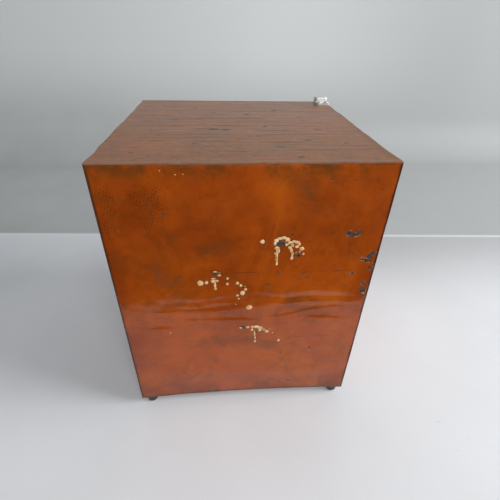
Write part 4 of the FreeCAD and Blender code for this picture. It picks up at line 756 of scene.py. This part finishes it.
def add_cell_pitch():
    """Pitch that seals each cell round its terminals."""
    low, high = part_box("battery_cells")
    radius = (high.y - low.y) / 2
    mesh = bmesh.new()
    for x in (low.x + radius, (low.x + high.x) / 2, high.x - radius):
        place = Matrix.Translation((x, (low.y + high.y) / 2, high.z - 3 * MM))
        disc = bmesh.ops.create_circle(mesh, cap_ends=True, radius=radius - 2.6 * MM, segments=40,
                                       matrix=place)["verts"]
        face = disc[0].link_faces[0]
        for inset, rise in ((0.8, 0.9), (3.0, 0.3), (7.0, 0.15)):
            bmesh.ops.inset_region(mesh, faces=[face], thickness=inset * MM, depth=rise * MM,
                                   use_boundary=True)
    as_piece("cell_pitch", mesh, black_pitch(), "case")


def add_cover_stiffener(material):
    """Folded angle under the middle of the cover."""
    mesh = bmesh.new()
    length = 300 * MM
    for height, depth, y, gap in ((1.5, 15.0, 37.5, 1.4), (14.5, 1.5, 30.75, 2.4)):
        place = Matrix.Translation((0, y * MM, EAVES - height / 2 * MM - gap * MM))
        size = Matrix.Diagonal((length, depth * MM, height * MM, 1))
        bmesh.ops.create_cube(mesh, size=1.0, matrix=place @ size)
    bmesh.ops.bevel(mesh, geom=mesh.edges[:], offset=0.3 * MM, segments=2, profile=0.5,
                    affect="EDGES", material=-1)
    as_piece("cover_stiffener", mesh, material, "case", smooth=False)


# ---- studio -------------------------------------------------------------------------------------
def add_studio():
    """Pale floor with painted shade, a greyer sheet of paper beyond it with painted light and shade, and a
    backdrop on the door side of the box.
    """
    mesh = bmesh.new()
    near, far, wall, half_width = REAR + 2.2, -1.15, 2.6, 3.0
    bend, bend_steps = 0.18, 8
    places = [(near, FLOOR), (far + bend, FLOOR)]
    for k in range(1, bend_steps + 1):
        a = math.radians(90 * k / bend_steps)
        places.append((far + bend - bend * math.sin(a), FLOOR + bend - bend * math.cos(a)))
    places.append((far, wall))
    profile = [mesh.verts.new((-half_width, y, z)) for y, z in places]
    edges = [mesh.edges.new(pair) for pair in zip(profile, profile[1:])]
    swept = bmesh.ops.extrude_edge_only(mesh, edges=edges)["geom"]
    bmesh.ops.translate(mesh, vec=(2 * half_width, 0, 0), verts=verts_of(swept))
    bmesh.ops.recalc_face_normals(mesh, faces=mesh.faces)
    data = bpy.data.meshes.new("studio")
    mesh.to_mesh(data)
    mesh.free()
    data.shade_smooth()
    f = Finish("studio_paper")
    x, y, z = f.axes()
    mottle = f.ramp(f.grain(3.0, 4.0), 0.3, 0.7)
    pale = f.blend(mottle, rgb(0.73, 0.737, 0.750), rgb(0.78, 0.790, 0.807))
    strokes = f.cells(22.0, source=f.stretch((1.0, 4.0, 1.0), rotation=(0, 0, 0.5)))
    scuffs = f.times(f.ramp(strokes, 0.12, 0.07), f.ramp(f.grain(7.0, 3.0), 0.56, 0.62))
    pale = f.blend(f.times(scuffs, 0.25), pale, rgb(0.42, 0.42, 0.42))
    # Painted shade: the pale floor darkens towards the far side and towards -X.
    shaded = f.times(f.ramp(y, 0.0, -0.34), f.ramp(x, -0.15, -0.4))
    pale = f.blend(shaded, pale, rgb(0.47, 0.475, 0.48))
    beyond = f.blend(mottle, rgb(0.43, 0.435, 0.43), rgb(0.48, 0.49, 0.48))
    # Painted light and shade on the far paper: lighter higher up, darker towards -X.
    beyond = f.blend(f.ramp(z, 0.0, 0.45), beyond, rgb(0.68, 0.695, 0.69))
    beyond = f.blend(f.ramp(x, -0.1, -1.1), beyond, rgb(0.42, 0.43, 0.425))
    fold = f.math("ADD", y, f.times(x, 0.05))
    seam = f.times(f.ramp(fold, -0.366, -0.374), f.ramp(fold, -0.388, -0.380))
    pale = f.blend(f.times(seam, 0.5), pale, rgb(0.86, 0.87, 0.87))
    paper = f.blend(f.ramp(fold, -0.376, -0.388), pale, beyond)
    data.materials.append(f.done(Base_Color=paper, Roughness=f.between(f.grain(40.0), 0.6, 0.8)))
    studio = bpy.data.objects.new("studio", data)
    bpy.context.collection.objects.link(studio)


def add_dark_side():
    """The unlit end of the room, seen only in reflections: the floor's paper ends before it."""
    mesh = bmesh.new()
    start, end = REAR + 0.235, REAR + 2.1
    bmesh.ops.create_grid(mesh, x_segments=1, y_segments=1, size=0.5)
    place = Matrix.Translation((0, (start + end) / 2, FLOOR + 2 * MM))
    bmesh.ops.transform(mesh, verts=mesh.verts, matrix=place @ Matrix.Diagonal((5.0, end - start, 1, 1)))
    data = bpy.data.meshes.new("dark_side")
    mesh.to_mesh(data)
    mesh.free()
    f = Finish("dark_floor")
    shade = f.blend(f.grain(5.0), rgb(0.007, 0.006, 0.005), rgb(0.012, 0.010, 0.009))
    data.materials.append(f.done(Base_Color=shade, Roughness=0.9))
    dark = bpy.data.objects.new("dark_side", data)
    bpy.context.collection.objects.link(dark)
    dark.visible_camera = dark.visible_diffuse = dark.visible_shadow = dark.visible_transmission = False


def add_light(name, place, target, size, power, colour=(1, 1, 1)):
    data = bpy.data.lights.new(name, "AREA")
    data.shape, data.size, data.size_y = "RECTANGLE", size[0], size[1]
    data.energy, data.color = power, colour
    lamp = bpy.data.objects.new(name, data)
    aim = (Vector(target) - Vector(place)).to_track_quat("-Z", "Y")
    lamp.matrix_world = Matrix.Translation(place) @ aim.to_matrix().to_4x4()
    bpy.context.collection.objects.link(lamp)


def add_lights():
    world = bpy.data.worlds.new("room")
    world.use_nodes = True
    sky = world.node_tree.nodes["Background"]
    sky.inputs["Color"].default_value = (0.80, 0.86, 0.94, 1)
    sky.inputs["Strength"].default_value = 0.24
    bpy.context.scene.world = world
    add_light("window_side", (-3.0, 0.7, 1.7), (0.1, 0.3, -0.1), (1.6, 1.6), 100, (0.98, 0.99, 1.0))
    add_light("room_side", (-0.3, 2.4, 1.9), (0, 0.3, 0.1), (1.8, 1.2), 35, (1.0, 1.0, 0.99))


# ---- main ---------------------------------------------------------------------------------------
def paint(material, *names):
    for name in names:
        slots = nodes[name].data.materials
        slots.clear()
        slots.append(material)


def main():
    bpy.context.scene.view_settings.view_transform = "Standard"
    add_camera()
    add_studio()
    add_dark_side()
    add_lights()
    red = enamel("orange_enamel")
    side_red = enamel("side_enamel", side_marks)
    steel = metal("zinc_steel", (0.44, 0.44, 0.43), (0.17, 0.14, 0.11), 0.32)
    bright = metal("bright_plate", (0.72, 0.72, 0.73), (0.36, 0.34, 0.31), 0.13, (1, 1, 0.05))
    nickel = metal("nickel_plate", (0.62, 0.58, 0.52), (0.34, 0.28, 0.20), 0.16)
    brass = metal("old_brass", (0.60, 0.40, 0.14), (0.24, 0.14, 0.05), 0.26, (0.1, 1, 1))
    iron = glazed("black_japan", (0.014, 0.013, 0.013), (0.07, 0.05, 0.04), 0.28)
    ebonite = glazed("ebonite", (0.016, 0.012, 0.011), (0.05, 0.045, 0.04), 0.24)
    white = glazed("white_enamel", (0.78, 0.76, 0.68), (0.36, 0.27, 0.17))
    porcelain = glazed("porcelain", (0.74, 0.71, 0.62), (0.32, 0.26, 0.18), 0.12)
    grip = glazed("red_grip", (0.36, 0.014, 0.008), (0.12, 0.01, 0.008))
    black_rubber = rubber("black_rubber")
    zinc = metal("cast_zinc", (0.80, 0.80, 0.77), (0.52, 0.50, 0.45), 0.55)
    wood = varnished_wood()
    paint(red, "door_frame", "door_panel")
    paint(black_rubber, "door_seal", "window_gasket")
    paint(rubber("brown_rubber", (0.045, 0.020, 0.010)), "rubber_feet")
    paint(zinc, "hinge_block_top", "hinge_plate_bottom", "case_screws")
    paint(bright, "window_bezel", "lock_escutcheon", "door_handle", "keyhole_cover", "break_hammer")
    paint(steel, "hinge_pins", "hinge_leaves", "glass_retainer", "door_screws", "hammer_clips", "latch_cam",
          "gong_post", "pull_lever", "winding_arbor", "click", "mainspring", "contact_lever", "bell_hammer")
    paint(brass, "board_screws", "battery_terminals", "cable_gland", "movement_plates",
          "movement_pillars", "contact_block", "arrester_plates", "great_wheel", "code_wheel",
          "governor", "key_base", "key_lever")
    paint(iron, "board_rails", "battery_tray", "bell_frame", "lock_case")
    paint(ebonite, "terminal_block", "key_knob")
    paint(white, "pull_plate", "instruction_plate")
    paint(porcelain, "arrester_base")
    paint(nickel, "bell_gong")
    paint(grip, "pull_grip")
    paint(wood, "mechanism_board", "key_block")
    paint(window_pane(), "window_glass")
    paint(cell_card(), "battery_cells")
    paint(wound_silk(), "bell_coils")
    paint(braided_cotton(), "wiring_leads")
    add_rear_sheet()
    add_cover_sheet()
    add_side_sheets(side_red)
    add_base_sheet(red)
    add_cover_stiffener(red)
    add_splashes()
    add_springs(steel)
    add_signs(glazed("sign_red", (0.42, 0.02, 0.01), (0.15, 0.02, 0.01)))
    add_cell_pitch()


main()
